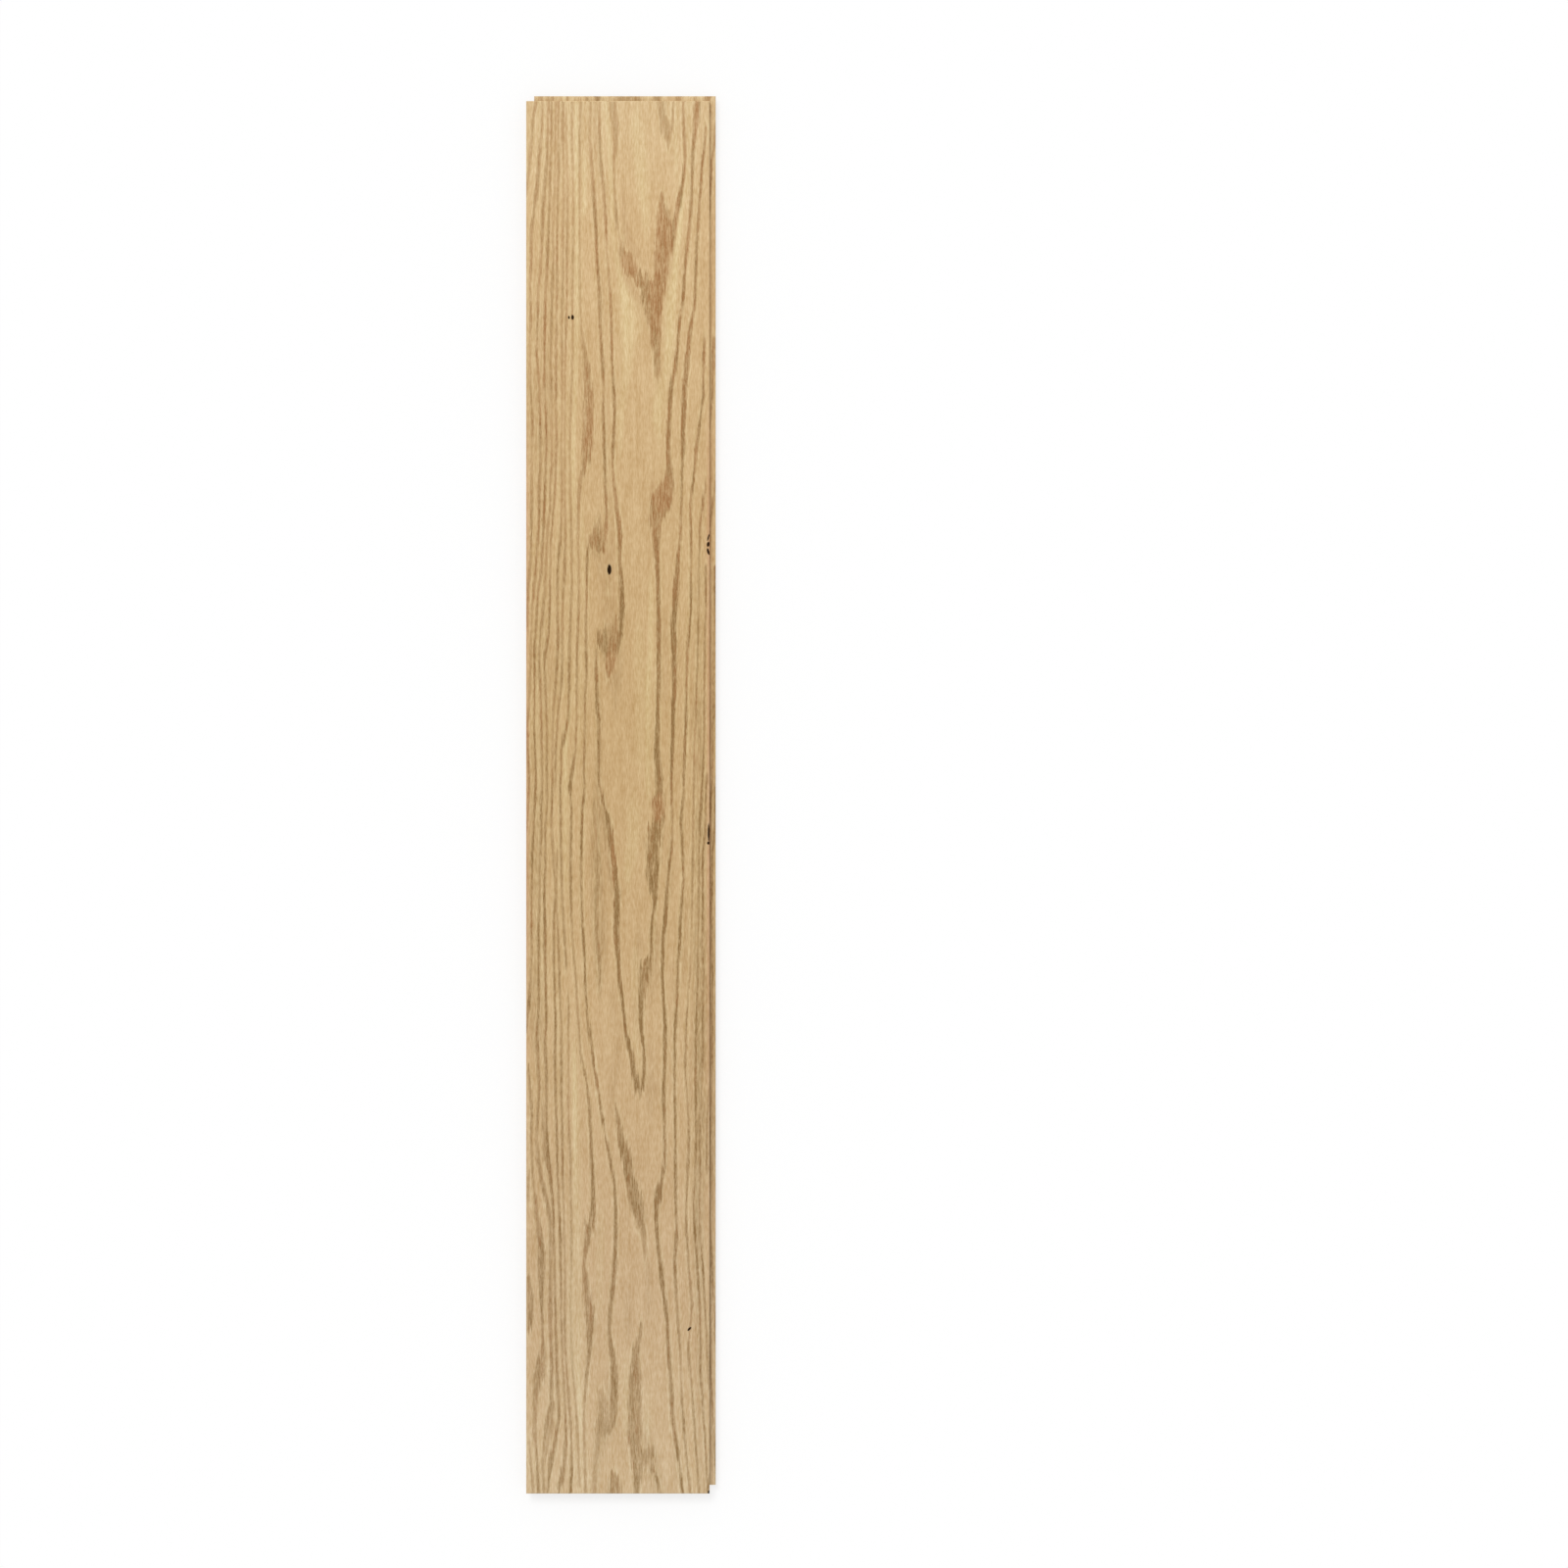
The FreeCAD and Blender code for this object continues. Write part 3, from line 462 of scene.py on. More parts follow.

# How strong the bands are, down the photograph, with painted shade that makes them darkest in
# the middle stretch, how red they are, and how pink the wood beside the face's long edges is
BAND_SHADE_ALONG = ([104, 300, 550, 980, 1180, 1330, 1523], [0.97, 1.03, 1.14, 1.2, 1.05, 0.98, 0.95])
WARM_ALONG = ([FACE_TOP, 500, 900], [0.6, 0.5, 0.1])
BLUSH_ALONG = ([400, 520, 900, 1100, 1260], [0, 1, 1, 0.4, 0])
BLUSH_REACH = 1.4
BLUSH_WIDTH = 2.8

# Places where the bands are redder: (down, across, half height, half width) in pixels, and how
# steeply the red falls off round them
WARM_STEEPNESS = 2
WARM_REACH = 1.1
WARM_PLACES = [
    (275, 674, 90, 17), (502, 676, 26, 14), (432, 603, 40, 7), (678, 623, 14, 9), (824, 671, 16, 9),
    (270, 642, 14, 14),
]

# Pin knots and flecks on the face, and chips along the tongued edge painted near-black as
# painted shade: (down, across, half height, half width) in pixels, how far the top leans to the
# right in degrees, and depth in millimetres
DARK_SPOTS = [
    (581.2, 621.8, 6.4, 2.5, 0, 0.9),
    (323.7, 584.2, 2.9, 1.7, 0, 0.5),
    (324.0, 580.6, 2.0, 1.2, 0, 0.3),
    (1356.0, 703.5, 3.0, 1.3, 45, 0.3),
    (548.5, 722.7, 4.6, 0.9, 14, 0.2),
    (555.3, 722.7, 3.2, 1.9, 8, 0.6),
    (563.0, 722.8, 4.4, 1.5, -16, 0.6),
    (849.5, 723.1, 12.0, 1.2, 0, 0.6),
    (860.2, 722.9, 2.0, 1.8, 0, 0.6),
    (1523.0, 723.5, 3.0, 1.6, 0, 0.3),
]

# How far below the face a dark spot reaches in millimetres, how far round it the rows stay close
# together in pixels, and how steep its walls are
SPOT_ROOM = 4.0
SPOT_MARGIN = 1
SPOT_STEEPNESS = 1.6

# The skin's fineness, in millimetres
COLUMN_STEP = 0.96
ROW_STEP = 4.4
FINE_ROW_STEP = 1.5
PROFILE_STEP = 1.1
LEDGE_STEP = 1.7
LAND_STEP = 1.9
ROW_ROOM = 1
CHANNEL_ROOM = 0.9
LOW_SIDE_CUTS = (1, 2, 3)

# Steps in a quarter turn, of how many of the face's rows or columns the sides and ends have one
# and the back has one, and the angle in degrees from which an edge is sharp
NOSE_STEPS = 3
CORNER_STEPS = 2
SIDE_STRIDE = 3
BACK_STRIDE = 8
SHARP_ANGLE = 35

# In metres and square metres: the rough block's real edges and faces are all far larger
WELD = 1e-7
NEAR = 1e-6
SLIVER_AREA = 1e-6

# The baking map: its side, gaps and room for a side's section in millimetres of the face, and
# the scale of what isn't the face
MAP_SIDE = 588.0
MAP_GAP = 3.0
SECTION_ROOM = 14.0
SIDE_SCALE = 0.4
BACK_SCALE = 0.2
FACE_STRIPS = 3

TOP, SIDE, END, BACK = range(4)


def photo_place(x, y):
    """Where a point of the face lies in the photograph, from its millimetres on the board."""
    return MIDDLE_X + x / PIXEL, MIDDLE_Y - y / PIXEL


def board_place(across, down):
    """Where a point of the photograph lies on the face, in millimetres."""
    return (across - MIDDLE_X) * PIXEL, (MIDDLE_Y - down) * PIXEL


def scatter(across, down, cell_across, cell_down, seed):
    """Smooth random values from -1 to 1, in cells of some size in pixels, for places as far as
    a photograph's side outside the photograph."""
    reach = 3 * PHOTO_SIDE
    columns, rows = (across + PHOTO_SIDE) / cell_across, (down + PHOTO_SIDE) / cell_down
    size = int(reach / cell_down), int(reach / cell_across)
    table = np.random.default_rng(seed).uniform(-1, 1, size)
    left = np.clip(np.floor(columns).astype(int), 0, table.shape[1] - 2)
    above = np.clip(np.floor(rows).astype(int), 0, table.shape[0] - 2)
    right_share, low_share = np.clip(columns - left, 0, 1), np.clip(rows - above, 0, 1)
    upper = table[above, left] * (1 - right_share) + table[above, left + 1] * right_share
    lower = table[above + 1, left] * (1 - right_share) + table[above + 1, left + 1] * right_share
    return upper * (1 - low_share) + lower * low_share


def past_ends(down, first, last):
    """How far a height in the photograph lies past a band's ends. A band that reaches the
    board's own end has no end there."""
    margin = 3
    first = -math.inf if first < FACE_TOP + margin else first
    last = math.inf if last > FACE_BOTTOM - margin else last
    return np.maximum(np.maximum(first - down, down - last), 0)


def face_bands(across, down):
    """How deep inside its nearest band each place of the face lies, in pixels and below zero
    outside, how dark that band is there, from 0 to 1, and half its width. A band starts
    sharply on the side towards the heart and reaches a little farther on the bark's side."""
    heart = photo_place(HEART_X, 0)[0]
    down = down + FRAY * scatter(across, down, *FRAY_CELL, FRAY_SEED)
    depth = np.full(across.shape, FAR_OUTSIDE)
    tone = np.zeros(across.shape)
    breadth = np.zeros(across.shape)
    for bands in (LEFT_BANDS, MIDDLE_BANDS, RIGHT_BANDS):
        for points in bands.values():
            downs, middles, widths, tones = np.array(points, float).T
            middle = np.interp(down, downs, middles)
            half = np.interp(down, downs, widths) / 2
            off = across - middle
            bark_side = off * (middle - heart) > 0
            past = past_ends(down, downs[0], downs[-1]) * (TAPER + TAPER_GAIN * half)
            inside = half - abs(off) * np.where(bark_side, BARK_FADE, 1) - past
            nearer = inside > depth
            depth = np.where(nearer, inside, depth)
            tone = np.where(nearer, np.interp(down, downs, tones) / FULL, tone)
            breadth = np.where(nearer, half, breadth)
    return depth, tone, breadth


def heart_rings(radius, y):
    """How deep inside a band, and how dark, the wood is that lies nearer the heart than the
    face reaches: evenly spaced rings that drift along the board."""
    drift = sum(rings * np.sin(y / length + start) for rings, length, start in RING_WAVES)
    ring = (HEART_DEPTH - radius) / RING_STEP + RING_START + drift
    off_ring = abs(ring - np.round(ring)) * RING_STEP
    tone = RING_TONE + RING_TONE_SWING * np.sin(ring * RING_TONE_TURN + y / RING_TONE_LENGTH)
    return (RING_HALF_BAND - off_ring) / PIXEL, tone


def soft_strips(strips, across, down):
    """How strong one of some soft-edged strips is at each place: 1 where it has the value 9."""
    share = np.zeros(across.shape)
    for points in strips:
        downs, middles, widths, tones = np.array(points, float).T
        half = np.interp(down, downs, widths) / 2
        past = past_ends(down, downs[0], downs[-1]) / STRIP_FADE
        inside = np.clip(STRIP_REACH - abs(across - np.interp(down, downs, middles)) / half - past, 0, 1)
        share = np.maximum(share, inside * np.interp(down, downs, tones) / FULL)
    return share


def warm_wood(across, down):
    """How red the bands are, from 0 to 1: more so towards the top end."""
    warm = np.interp(down, *WARM_ALONG)
    for spot_down, spot_across, half_height, half_width in WARM_PLACES:
        away = np.hypot((down - spot_down) / half_height, (across - spot_across) / half_width)
        warm = np.maximum(warm, np.clip(WARM_STEEPNESS * (WARM_REACH - away), 0, 1))
    return warm


def edge_blush(across, down):
    """How pink the wood is beside the face's long edges, from 0 to 1."""
    inside = np.minimum(across - FACE_LEFT, FACE_RIGHT - across)
    blush = np.clip(BLUSH_REACH - inside / BLUSH_WIDTH, 0, 1) * np.interp(down, *BLUSH_ALONG)
    slack = 0.5
    return np.where(inside > -slack, blush, 0)


def spot_field(across, down):
    """How far inside a dark spot each place lies, 1 in its middle and below 0 outside it, and
    how deep the spot is."""
    inside = np.full(across.shape, -1.0)
    depth = np.zeros(across.shape)
    for spot_down, spot_across, half_height, half_width, lean, sink in DARK_SPOTS:
        right, up = across - spot_across, spot_down - down
        sine, cosine = math.sin(math.radians(lean)), math.cos(math.radians(lean))
        along, aside = up * cosine + right * sine, right * cosine - up * sine
        lens = 1 - np.hypot(along / half_height, aside / half_width)
        deeper = lens > inside
        inside = np.where(deeper, lens, inside)
        depth = np.where(deeper, sink, depth)
    return inside, depth


def wood_at(x, y, z):
    """The figure of the wood at points of the board in millimetres. A point below the face
    has the look of the face where the same growth ring comes up to it."""
    below = THICKNESS - z
    aside = x - HEART_X
    radius = np.hypot(aside, HEART_DEPTH - below)
    beyond = radius ** 2 - HEART_DEPTH ** 2
    across, down = photo_place(HEART_X + np.sign(aside) * np.sqrt(np.maximum(beyond, 0)), y)
    outer_band, outer_tone, outer_breadth = face_bands(across, down)
    # Painted shade: the bands grow darker in the middle stretch of the board
    outer_tone *= np.interp(down, *BAND_SHADE_ALONG)
    inner_band, inner_tone = heart_rings(radius, y)
    outer = beyond >= 0
    return {
        "band": np.clip(np.where(outer, outer_band, inner_band) * PIXEL, *BAND_DEPTHS),
        "breadth": np.where(outer, outer_breadth, RING_HALF_BAND / PIXEL) * PIXEL,
        "tone": np.clip(np.where(outer, outer_tone, inner_tone), 0, STRONGEST_TONE),
        "warm": np.where(outer, warm_wood(across, down), RING_WARMTH),
        "pale": np.where(outer, soft_strips(PALE_STRIPS, across, down), 0),
        "stain": np.where(outer, soft_strips(STAINS, across, down), 0),
        "blush": np.where(below < THICKNESS / 2, edge_blush(*photo_place(x, y)), 0),
    }


def run(start, end, step):
    """Places from start to end, both kept, about a step apart."""
    return np.linspace(start, end, max(1, round(abs(end - start) / step)) + 1).tolist()


def nose_points():
    """The tongue's rounded nose from its upper face to its lower one, as (out, height)."""
    centre = TONGUE_REACH - NOSE_RADIUS
    turns = [math.radians(90 * step / NOSE_STEPS) for step in range(NOSE_STEPS + 1)]
    middle = TONGUE_TOP - NOSE_RADIUS
    upper = [
        (centre + NOSE_RADIUS * math.sin(turn), middle + NOSE_RADIUS * math.cos(turn))
        for turn in turns]
    wall = run(middle, TONGUE_FOOT + NOSE_RADIUS, PROFILE_STEP)[1:-1]
    lower = [(out, TONGUE_TOP + TONGUE_FOOT - height) for out, height in reversed(upper)]
    return upper + [(TONGUE_REACH, height) for height in wall] + lower


def outline_levels():
    """The board's outline from the face down to the roofs of the channels: how far the grooved
    and the tongued sides stand out of their shoulders, and the height."""
    groove_wall = -GROOVE_DEPTH
    nose = nose_points()
    levels = [(-EDGE_BEVEL, -EDGE_BEVEL, THICKNESS)]
    levels += [(0.0, 0.0, z) for z in run(THICKNESS - EDGE_BEVEL, GROOVE_ROOF, PROFILE_STEP)]
    levels += [(out, 0.0, GROOVE_ROOF) for out in run(0, groove_wall, LEDGE_STEP)]
    levels += [(groove_wall, out, TONGUE_TOP) for out in run(0, nose[0][0], LEDGE_STEP)]
    levels += [(groove_wall, out, z) for out, z in nose]
    levels += [(groove_wall, out, TONGUE_FOOT) for out in run(nose[-1][0], -SETBACK, LEDGE_STEP)]
    levels += [(out, -SETBACK, GROOVE_FLOOR) for out in run(groove_wall, -SETBACK, LEDGE_STEP)]
    levels += [(-SETBACK, -SETBACK, CHANNEL_DEPTH + CHANNEL_ROOM)]
    levels = [tuple(round(value, 6) for value in level) for level in levels]
    return [level for level, before in zip(levels, [None, *levels]) if level != before]


def level_corners(level):
    """A level's four corners, from the groove end's grooved corner round by the tongued side."""
    groove, tongue, z = level
    left, right = -HALF_WIDTH - groove, HALF_WIDTH + tongue
    foot, head = -HALF_LENGTH - groove, HALF_LENGTH + tongue
    return [(left, foot, z), (right, foot, z), (right, head, z), (left, head, z)]


def back_section():
    """The back's section across the board, with its relief channels, as points (x, height)."""
    outer = HALF_WIDTH - SETBACK
    half = CHANNEL_WIDTH / 2
    turns = [math.radians(90 * step / CORNER_STEPS) for step in range(CORNER_STEPS + 1)]
    out, up = half - CHANNEL_RADIUS, CHANNEL_DEPTH - CHANNEL_RADIUS
    corner = [
        (out + CHANNEL_RADIUS * math.cos(turn), up + CHANNEL_RADIUS * math.sin(turn))
        for turn in turns]
    points = []
    start = -outer
    for channel in range(CHANNELS):
        middle = (channel - (CHANNELS - 1) / 2) * CHANNEL_PITCH
        points += [(x, 0.0) for x in run(start, middle - half, LAND_STEP)]
        points += [(middle - out, height) for out, height in corner]
        points += [(middle + out, height) for out, height in reversed(corner)]
        start = middle + half
    return points + [(x, 0.0) for x in run(start, outer, LAND_STEP)]


def lengths_along(points):
    """How far along a chain of points each one lies."""
    steps = np.hypot(*np.diff(np.array(points), axis=0).T)
    return [0.0, *np.cumsum(steps).tolist()]


def add_face(work, kind, corners, places):
    """Adds a flat face between corners in millimetres, with its places in the baking map."""
    face = work.faces.new([work.verts.new([value * MM for value in corner]) for corner in corners])
    face[work.faces.layers.int["kind"]] = kind
    for loop, (u, v) in zip(face.loops, places):
        loop[work.loops.layers.uv["OFBake"]].uv = (u / MAP_SIDE, v / MAP_SIDE)
    return face


def rough_block(work):
    """The board as a few large flat faces, welded."""
    levels = outline_levels()
    section = back_section()
    face_top = MAP_GAP + 2 * HALF_LENGTH / FACE_STRIPS
    back_base = face_top + MAP_GAP
    back_runs = lengths_along(section)
    band = SECTION_ROOM + MAP_GAP
    second_end = 4 * MAP_GAP + 2 * HALF_WIDTH * SIDE_SCALE
    side_base = back_base + back_runs[-1] * BACK_SCALE + MAP_GAP
    grooved_runs = lengths_along([(groove, z) for groove, _, z in levels])
    tongued_runs = lengths_along([(tongue, z) for _, tongue, z in levels])
    # Each side of the outline: its two corners, kind, axis it runs along, map base and runs
    sides = [
        (0, 1, END, 0, (MAP_GAP, side_base + 2 * band), grooved_runs),
        (1, 2, SIDE, 1, (MAP_GAP, side_base + band), tongued_runs),
        (2, 3, END, 0, (second_end, side_base + 2 * band), tongued_runs),
        (3, 0, SIDE, 1, (MAP_GAP, side_base), grooved_runs),
    ]

    def chart(point, axis, base, depth):
        start = (HALF_WIDTH, HALF_LENGTH)[axis]
        return base[0] + (point[axis] + start) * SIDE_SCALE, base[1] + depth * SIDE_SCALE

    add_face(work, TOP, level_corners(levels[0]), [(0, 0)] * 4)
    for number, (upper, lower) in enumerate(zip(levels, levels[1:])):
        above, under = level_corners(upper), level_corners(lower)
        for first, second, kind, axis, base, runs in sides:
            points = [above[first], above[second], under[second], under[first]]
            depths = [runs[number], runs[number], runs[number + 1], runs[number + 1]]
            places = [chart(point, axis, base, depth) for point, depth in zip(points, depths)]
            add_face(work, kind, points, places)

    last = level_corners(levels[-1])
    foot_y, head_y = last[0][1], last[2][1]
    for first, second, kind, axis, base, runs in sides:
        points = [last[first], last[second]]
        if kind == END:
            y = last[first][1]
            ordered = section if last[second][0] < 0 else section[::-1]
            points += [(x, y, z) for x, z in ordered]
        else:
            points += [(*last[second][:2], 0.0), (*last[first][:2], 0.0)]
        depth = runs[-1] + last[0][2]
        add_face(work, kind, points, [chart(point, axis, base, depth - point[2]) for point in points])

    for (start, end), runs in zip(zip(section, section[1:]), zip(back_runs, back_runs[1:])):
        corners = [(*start, foot_y), (*end, foot_y), (*end, head_y), (*start, head_y)]
        places = [
            (MAP_GAP + (y + HALF_LENGTH) * SIDE_SCALE, back_base + depth * BACK_SCALE)
            for (_, _, y), depth in zip(corners, [runs[0], runs[1], runs[1], runs[0]])]
        add_face(work, BACK, [(x, y, z) for x, z, y in corners], places)
    bmesh.ops.remove_doubles(work, verts=work.verts, dist=WELD)
    absorb_slivers(work)
    bmesh.ops.recalc_face_normals(work, faces=work.faces)


def absorb_slivers(work):
    """Joins each face without area to the neighbour across its longest edge. They arise at the
    corners, where one side's ledge ends at the other side's wall."""
    while True:
        sliver = next((face for face in work.faces if face.calc_area() < SLIVER_AREA), None)
        if sliver is None:
            return
        longest = max(sliver.edges, key=lambda edge: edge.calc_length())
        neighbour = next(face for face in longest.link_faces if face is not sliver)
        bmesh.utils.face_join([neighbour, sliver])


def slice_faces(work, faces, axis, places):
    """Cuts faces by planes across an axis, at places in millimetres."""
    normal = [float(axis == number) for number in range(3)]
    faces = list(faces)
    for place in sorted(places):
        point = [value * place * MM for value in normal]
        edges = {edge for face in faces for edge in face.edges}
        verts = {vert for edge in edges for vert in edge.verts}
        result = bmesh.ops.bisect_plane(
            work, geom=[*faces, *edges, *verts], dist=WELD, plane_co=point, plane_no=normal)
        found = [part for part in result["geom"] if isinstance(part, bmesh.types.BMFace)]
        faces = [face for face in found if max(v.co[axis] for v in face.verts) > place * MM + NEAR]


def face_rows():
    """Where the face has rows: evenly spaced, and closer together at the dark spots."""
    half = HALF_LENGTH - EDGE_BEVEL
    rows = run(-half, half, ROW_STEP)[1:-1]
    for down, _, half_height, _, _, _ in DARK_SPOTS:
        middle = board_place(0, down)[1]
        reach = (half_height + SPOT_MARGIN) * PIXEL
        low, high = max(middle - reach, ROW_ROOM - half), min(middle + reach, half - ROW_ROOM)
        rows = [y for y in rows if not low - ROW_ROOM < y < high + ROW_ROOM]
        rows += run(low, high, FINE_ROW_STEP)
    return sorted(rows)


def face_columns():
    """Where the face has columns, one of them through each dark spot."""
    half = HALF_WIDTH - EDGE_BEVEL
    columns = run(-half, half, COLUMN_STEP)[1:-1]
    for _, across, _, _, _, _ in DARK_SPOTS:
        x = board_place(across, 0)[0]
        nearest = min(range(len(columns)), key=lambda number: abs(columns[number] - x))
        if abs(columns[nearest] - x) < COLUMN_STEP / 2:
            columns[nearest] = x
    return columns


def dice(work):
    """Cuts the rough block's faces finely enough to carry the wood's figure."""
    rows, columns = face_rows(), face_columns()
    kind = work.faces.layers.int["kind"]
    for wanted, axis, places in (
            (SIDE, 1, rows[::SIDE_STRIDE]), (END, 0, columns[::SIDE_STRIDE]),
            (BACK, 1, rows[::BACK_STRIDE]), (TOP, 0, columns), (TOP, 1, rows)):
        slice_faces(work, [face for face in work.faces if face[kind] == wanted], axis, places)
    low = (CHANNEL_DEPTH + CHANNEL_ROOM) * MM + NEAR
    sides = [face for face in work.faces if face[kind] == SIDE]
    slice_faces(work, [face for face in sides if max(v.co.z for v in face.verts) <= low], 2, LOW_SIDE_CUTS)


def map_top(work):
    """Lays the face into the baking map as strips side by side."""
    kind = work.faces.layers.int["kind"]
    layer = work.loops.layers.uv["OFBake"]
    strip_length = 2 * HALF_LENGTH / FACE_STRIPS
    for face in work.faces:
        if face[kind] != TOP:
            continue
        strip = int((face.calc_center_median().y / MM + HALF_LENGTH) / strip_length)
        for loop in face.loops:
            x, y, _ = loop.vert.co / MM
            u = MAP_GAP + strip * (2 * HALF_WIDTH + MAP_GAP) + x + HALF_WIDTH
            v = MAP_GAP + y + HALF_LENGTH - strip * strip_length
            loop[layer].uv = (u / MAP_SIDE, v / MAP_SIDE)


def sink_spots(mesh):
    """Sinks the face's pin knots, flecks and edge chips into the wood."""
    places = np.empty(len(mesh.vertices) * 3)
    mesh.vertices.foreach_get("co", places)
    x, y, z = places.reshape(-1, 3).T / MM
    inside, depth = spot_field(*photo_place(x, y))
    near_face = np.clip(1 - (THICKNESS - z) / SPOT_ROOM, 0, 1)
    places.reshape(-1, 3)[:, 2] -= np.clip(inside * SPOT_STEEPNESS, 0, 1) * depth * near_face * MM
    mesh.vertices.foreach_set("co", places)


def board_mesh():
    """The board's skin, with the wood's figure in its points."""
    work = bmesh.new()
    work.loops.layers.uv.new("OFBake")
    work.faces.layers.int.new("kind")
    rough_block(work)
    dice(work)
    map_top(work)
    bmesh.ops.triangulate(work, faces=[face for face in work.faces if len(face.verts) > 4])
    mesh = bpy.data.meshes.new("floorboard_oak")
    work.to_mesh(mesh)
    work.free()
    places = np.empty(len(mesh.vertices) * 3)
    mesh.vertices.foreach_get("co", places)
    for name, values in wood_at(*(places.reshape(-1, 3).T / MM)).items():
        layer = mesh.attributes.new(name, "FLOAT", "POINT")
        layer.data.foreach_set("value", values)
    sink_spots(mesh)
    mesh.shade_smooth()
    mesh.set_sharp_from_angle(angle=math.radians(SHARP_ANGLE))
    return mesh


def linear(red, green, blue):
    """A colour of the photograph, 0 to 255, as the shaders take it."""
    shares = [value / 255 for value in (red, green, blue)]
    return [s / 12.92 if s <= 0.04045 else ((s + 0.055) / 1.055) ** 2.4 for s in shares] + [1.0]


class Recipe:
    """Builds nodes in an empty tree. Its methods return sockets, and take sockets or numbers."""

    def __init__(self, tree):
        self.tree = tree
        self.tree.nodes.clear()

    def node(self, kind, inputs=(), **settings):
        """A node with its settings and inputs by name or number."""
        node = self.tree.nodes.new(kind)
        for name, value in settings.items():
            setattr(node, name, value)
        for key, value in dict(inputs).items():
            if isinstance(value, bpy.types.NodeSocket):
                self.tree.links.new(value, node.inputs[key])
            else:
                node.inputs[key].default_value = value
        return node

    def attribute(self, name):
        return self.node("ShaderNodeAttribute", attribute_name=name).outputs["Fac"]

    def place(self):
        return self.node("ShaderNodeTexCoord").outputs["Object"]

    def vector(self, operation, first, second):
        return self.node("ShaderNodeVectorMath", {0: first, 1: second}, operation=operation).outputs[0]

    def noise(self, size, shift, detail, rough):
        """Cloudy noise round 0, mostly between -1 and 1, with cells of a size in millimetres."""
        cells = self.vector("MULTIPLY", self.place(), [1 / (value * MM) for value in size])
        place = self.vector("ADD", cells, [shift] * 3)
        noise = self.node(
            "ShaderNodeTexNoise", {"Vector": place, "Scale": 1.0, "Detail": detail, "Roughness": rough})
        return self.maths("MULTIPLY", self.maths("SUBTRACT", noise.outputs["Fac"], 0.5), 4.0)

    def maths(self, operation, *values):
        return self.node("ShaderNodeMath", dict(enumerate(values)), operation=operation).outputs[0]

    def product(self, *values):
        result = values[0]
        for value in values[1:]:
            result = self.maths("MULTIPLY", result, value)
        return result

    def total(self, *values):
        result = values[0]
        for value in values[1:]:
            result = self.maths("ADD", result, value)
        return result

    def step(self, value, low, high, bottom=0.0, top=1.0):
        """Goes smoothly from bottom to top while the value goes from low to high."""
        return self.node(
            "ShaderNodeMapRange",
            {"Value": value, "From Min": low, "From Max": high, "To Min": bottom, "To Max": top},
            interpolation_type="SMOOTHSTEP").outputs[0]

    def mix(self, share, first, second, blend="MIX"):
        factor, one, two, result = 0, 6, 7, 2
        node = self.node(
            "ShaderNodeMix", {factor: share, one: first, two: second}, data_type="RGBA", blend_type=blend)
        return node.outputs[result]

    def ramp(self, value, stops):
        """A colour ramp from (place, colour) stops."""
        node = self.node("ShaderNodeValToRGB", {0: value})
        elements = node.color_ramp.elements
        for number, (place, colour) in enumerate(stops):
            element = elements[number] if number < 2 else elements.new(place)
            element.position = place
            element.color = colour
        return node.outputs["Color"]


def blank_material(name):
    """A material without nodes, and the recipe for them."""
    material = bpy.data.materials.new(name)
    material.use_nodes = True
    return material, Recipe(material.node_tree)


# Plain wood between the bands, down the photograph from one end of the board to the other: its
# own colour with painted light and shade, lightest at the top end and darkest a little above the middle
PLAIN_WOOD_AND_SHADE = [
    (104, (214, 184, 138)), (220, (209, 176, 128)), (750, (198, 165, 116)),
    (1000, (200, 168, 122)), (1320, (197, 167, 127)), (1523, (203, 176, 137)),
]
BAND_TINT = (0.46, 0.39, 0.25, 1)
WARM_TINT = (0.60, 0.43, 0.305, 1)
PALE_TINT = (1.12, 1.24, 1.30, 1)
# Near-black: the pin knots' own colour, and painted shade in the chips along the tongued edge
KNOT_AND_CHIP_SHADE_COLOUR = (0.024, 0.011, 0.003, 1)
END_TINT = (0.72, 0.68, 0.60, 1)
BLUSH_TINT = (1.0, 0.90, 0.95, 1)
DARK_GRAIN = (0.83, 0.755, 0.625, 1)
PALE_GRAIN = (1.17, 1.245, 1.375, 1)

# The wood's noises: size of their cells in millimetres, across, along and into the board, a
# shift that sets each apart from the others, how many finer layers it has, and how rough it is
NOISES = {
    "streaks": ((4.5, 200, 4.5), 0.0, 3, 0.6),
    "clouds": ((5, 60, 5), 21.7, 2, 0.5),
    "shade": ((5.5, 45, 5.5), 3.1, 2, 0.5),
    "fibres": ((1.1, 7, 1.1), 14.4, 1.5, 0.5),
    "ripples": ((16, 4.5, 16), 7.7, 2, 0.5),
    "vessels": ((0.8, 9, 0.8), 11.3, 1, 0.5),
    "rag": ((0.9, 5, 0.9), 5.5, 2, 0.6),
    "sway": ((2.4, 32, 2.4), 17.9, 2, 0.5),
    "tear": ((1.1, 17, 1.1), 9.2, 2, 0.6),
    "patchy": ((1.1, 12, 1.1), 31.3, 2, 0.5),
    "beads": ((1.1, 3.2, 1.1), 41.3, 2, 0.5),
}
VESSEL_EDGES = (0.5, 1.3)

# The bands' edges: how far noises fray them in millimetres, how loose and how soft those of
# broad bands are, and the faint halo round them
RAG = 0.6
SWAY = 0.35
LOOSE_FROM = 1.2
LOOSE_GAIN = 0.9
LOOSEST = 2.6
SOFTNESS = 0.9
LOOSE_SOFTNESS = 0.35
SOFT_LEAN = -1.3
HALO_EDGES = (-2.4, 0.0)
HALO_SHARE = 0.1

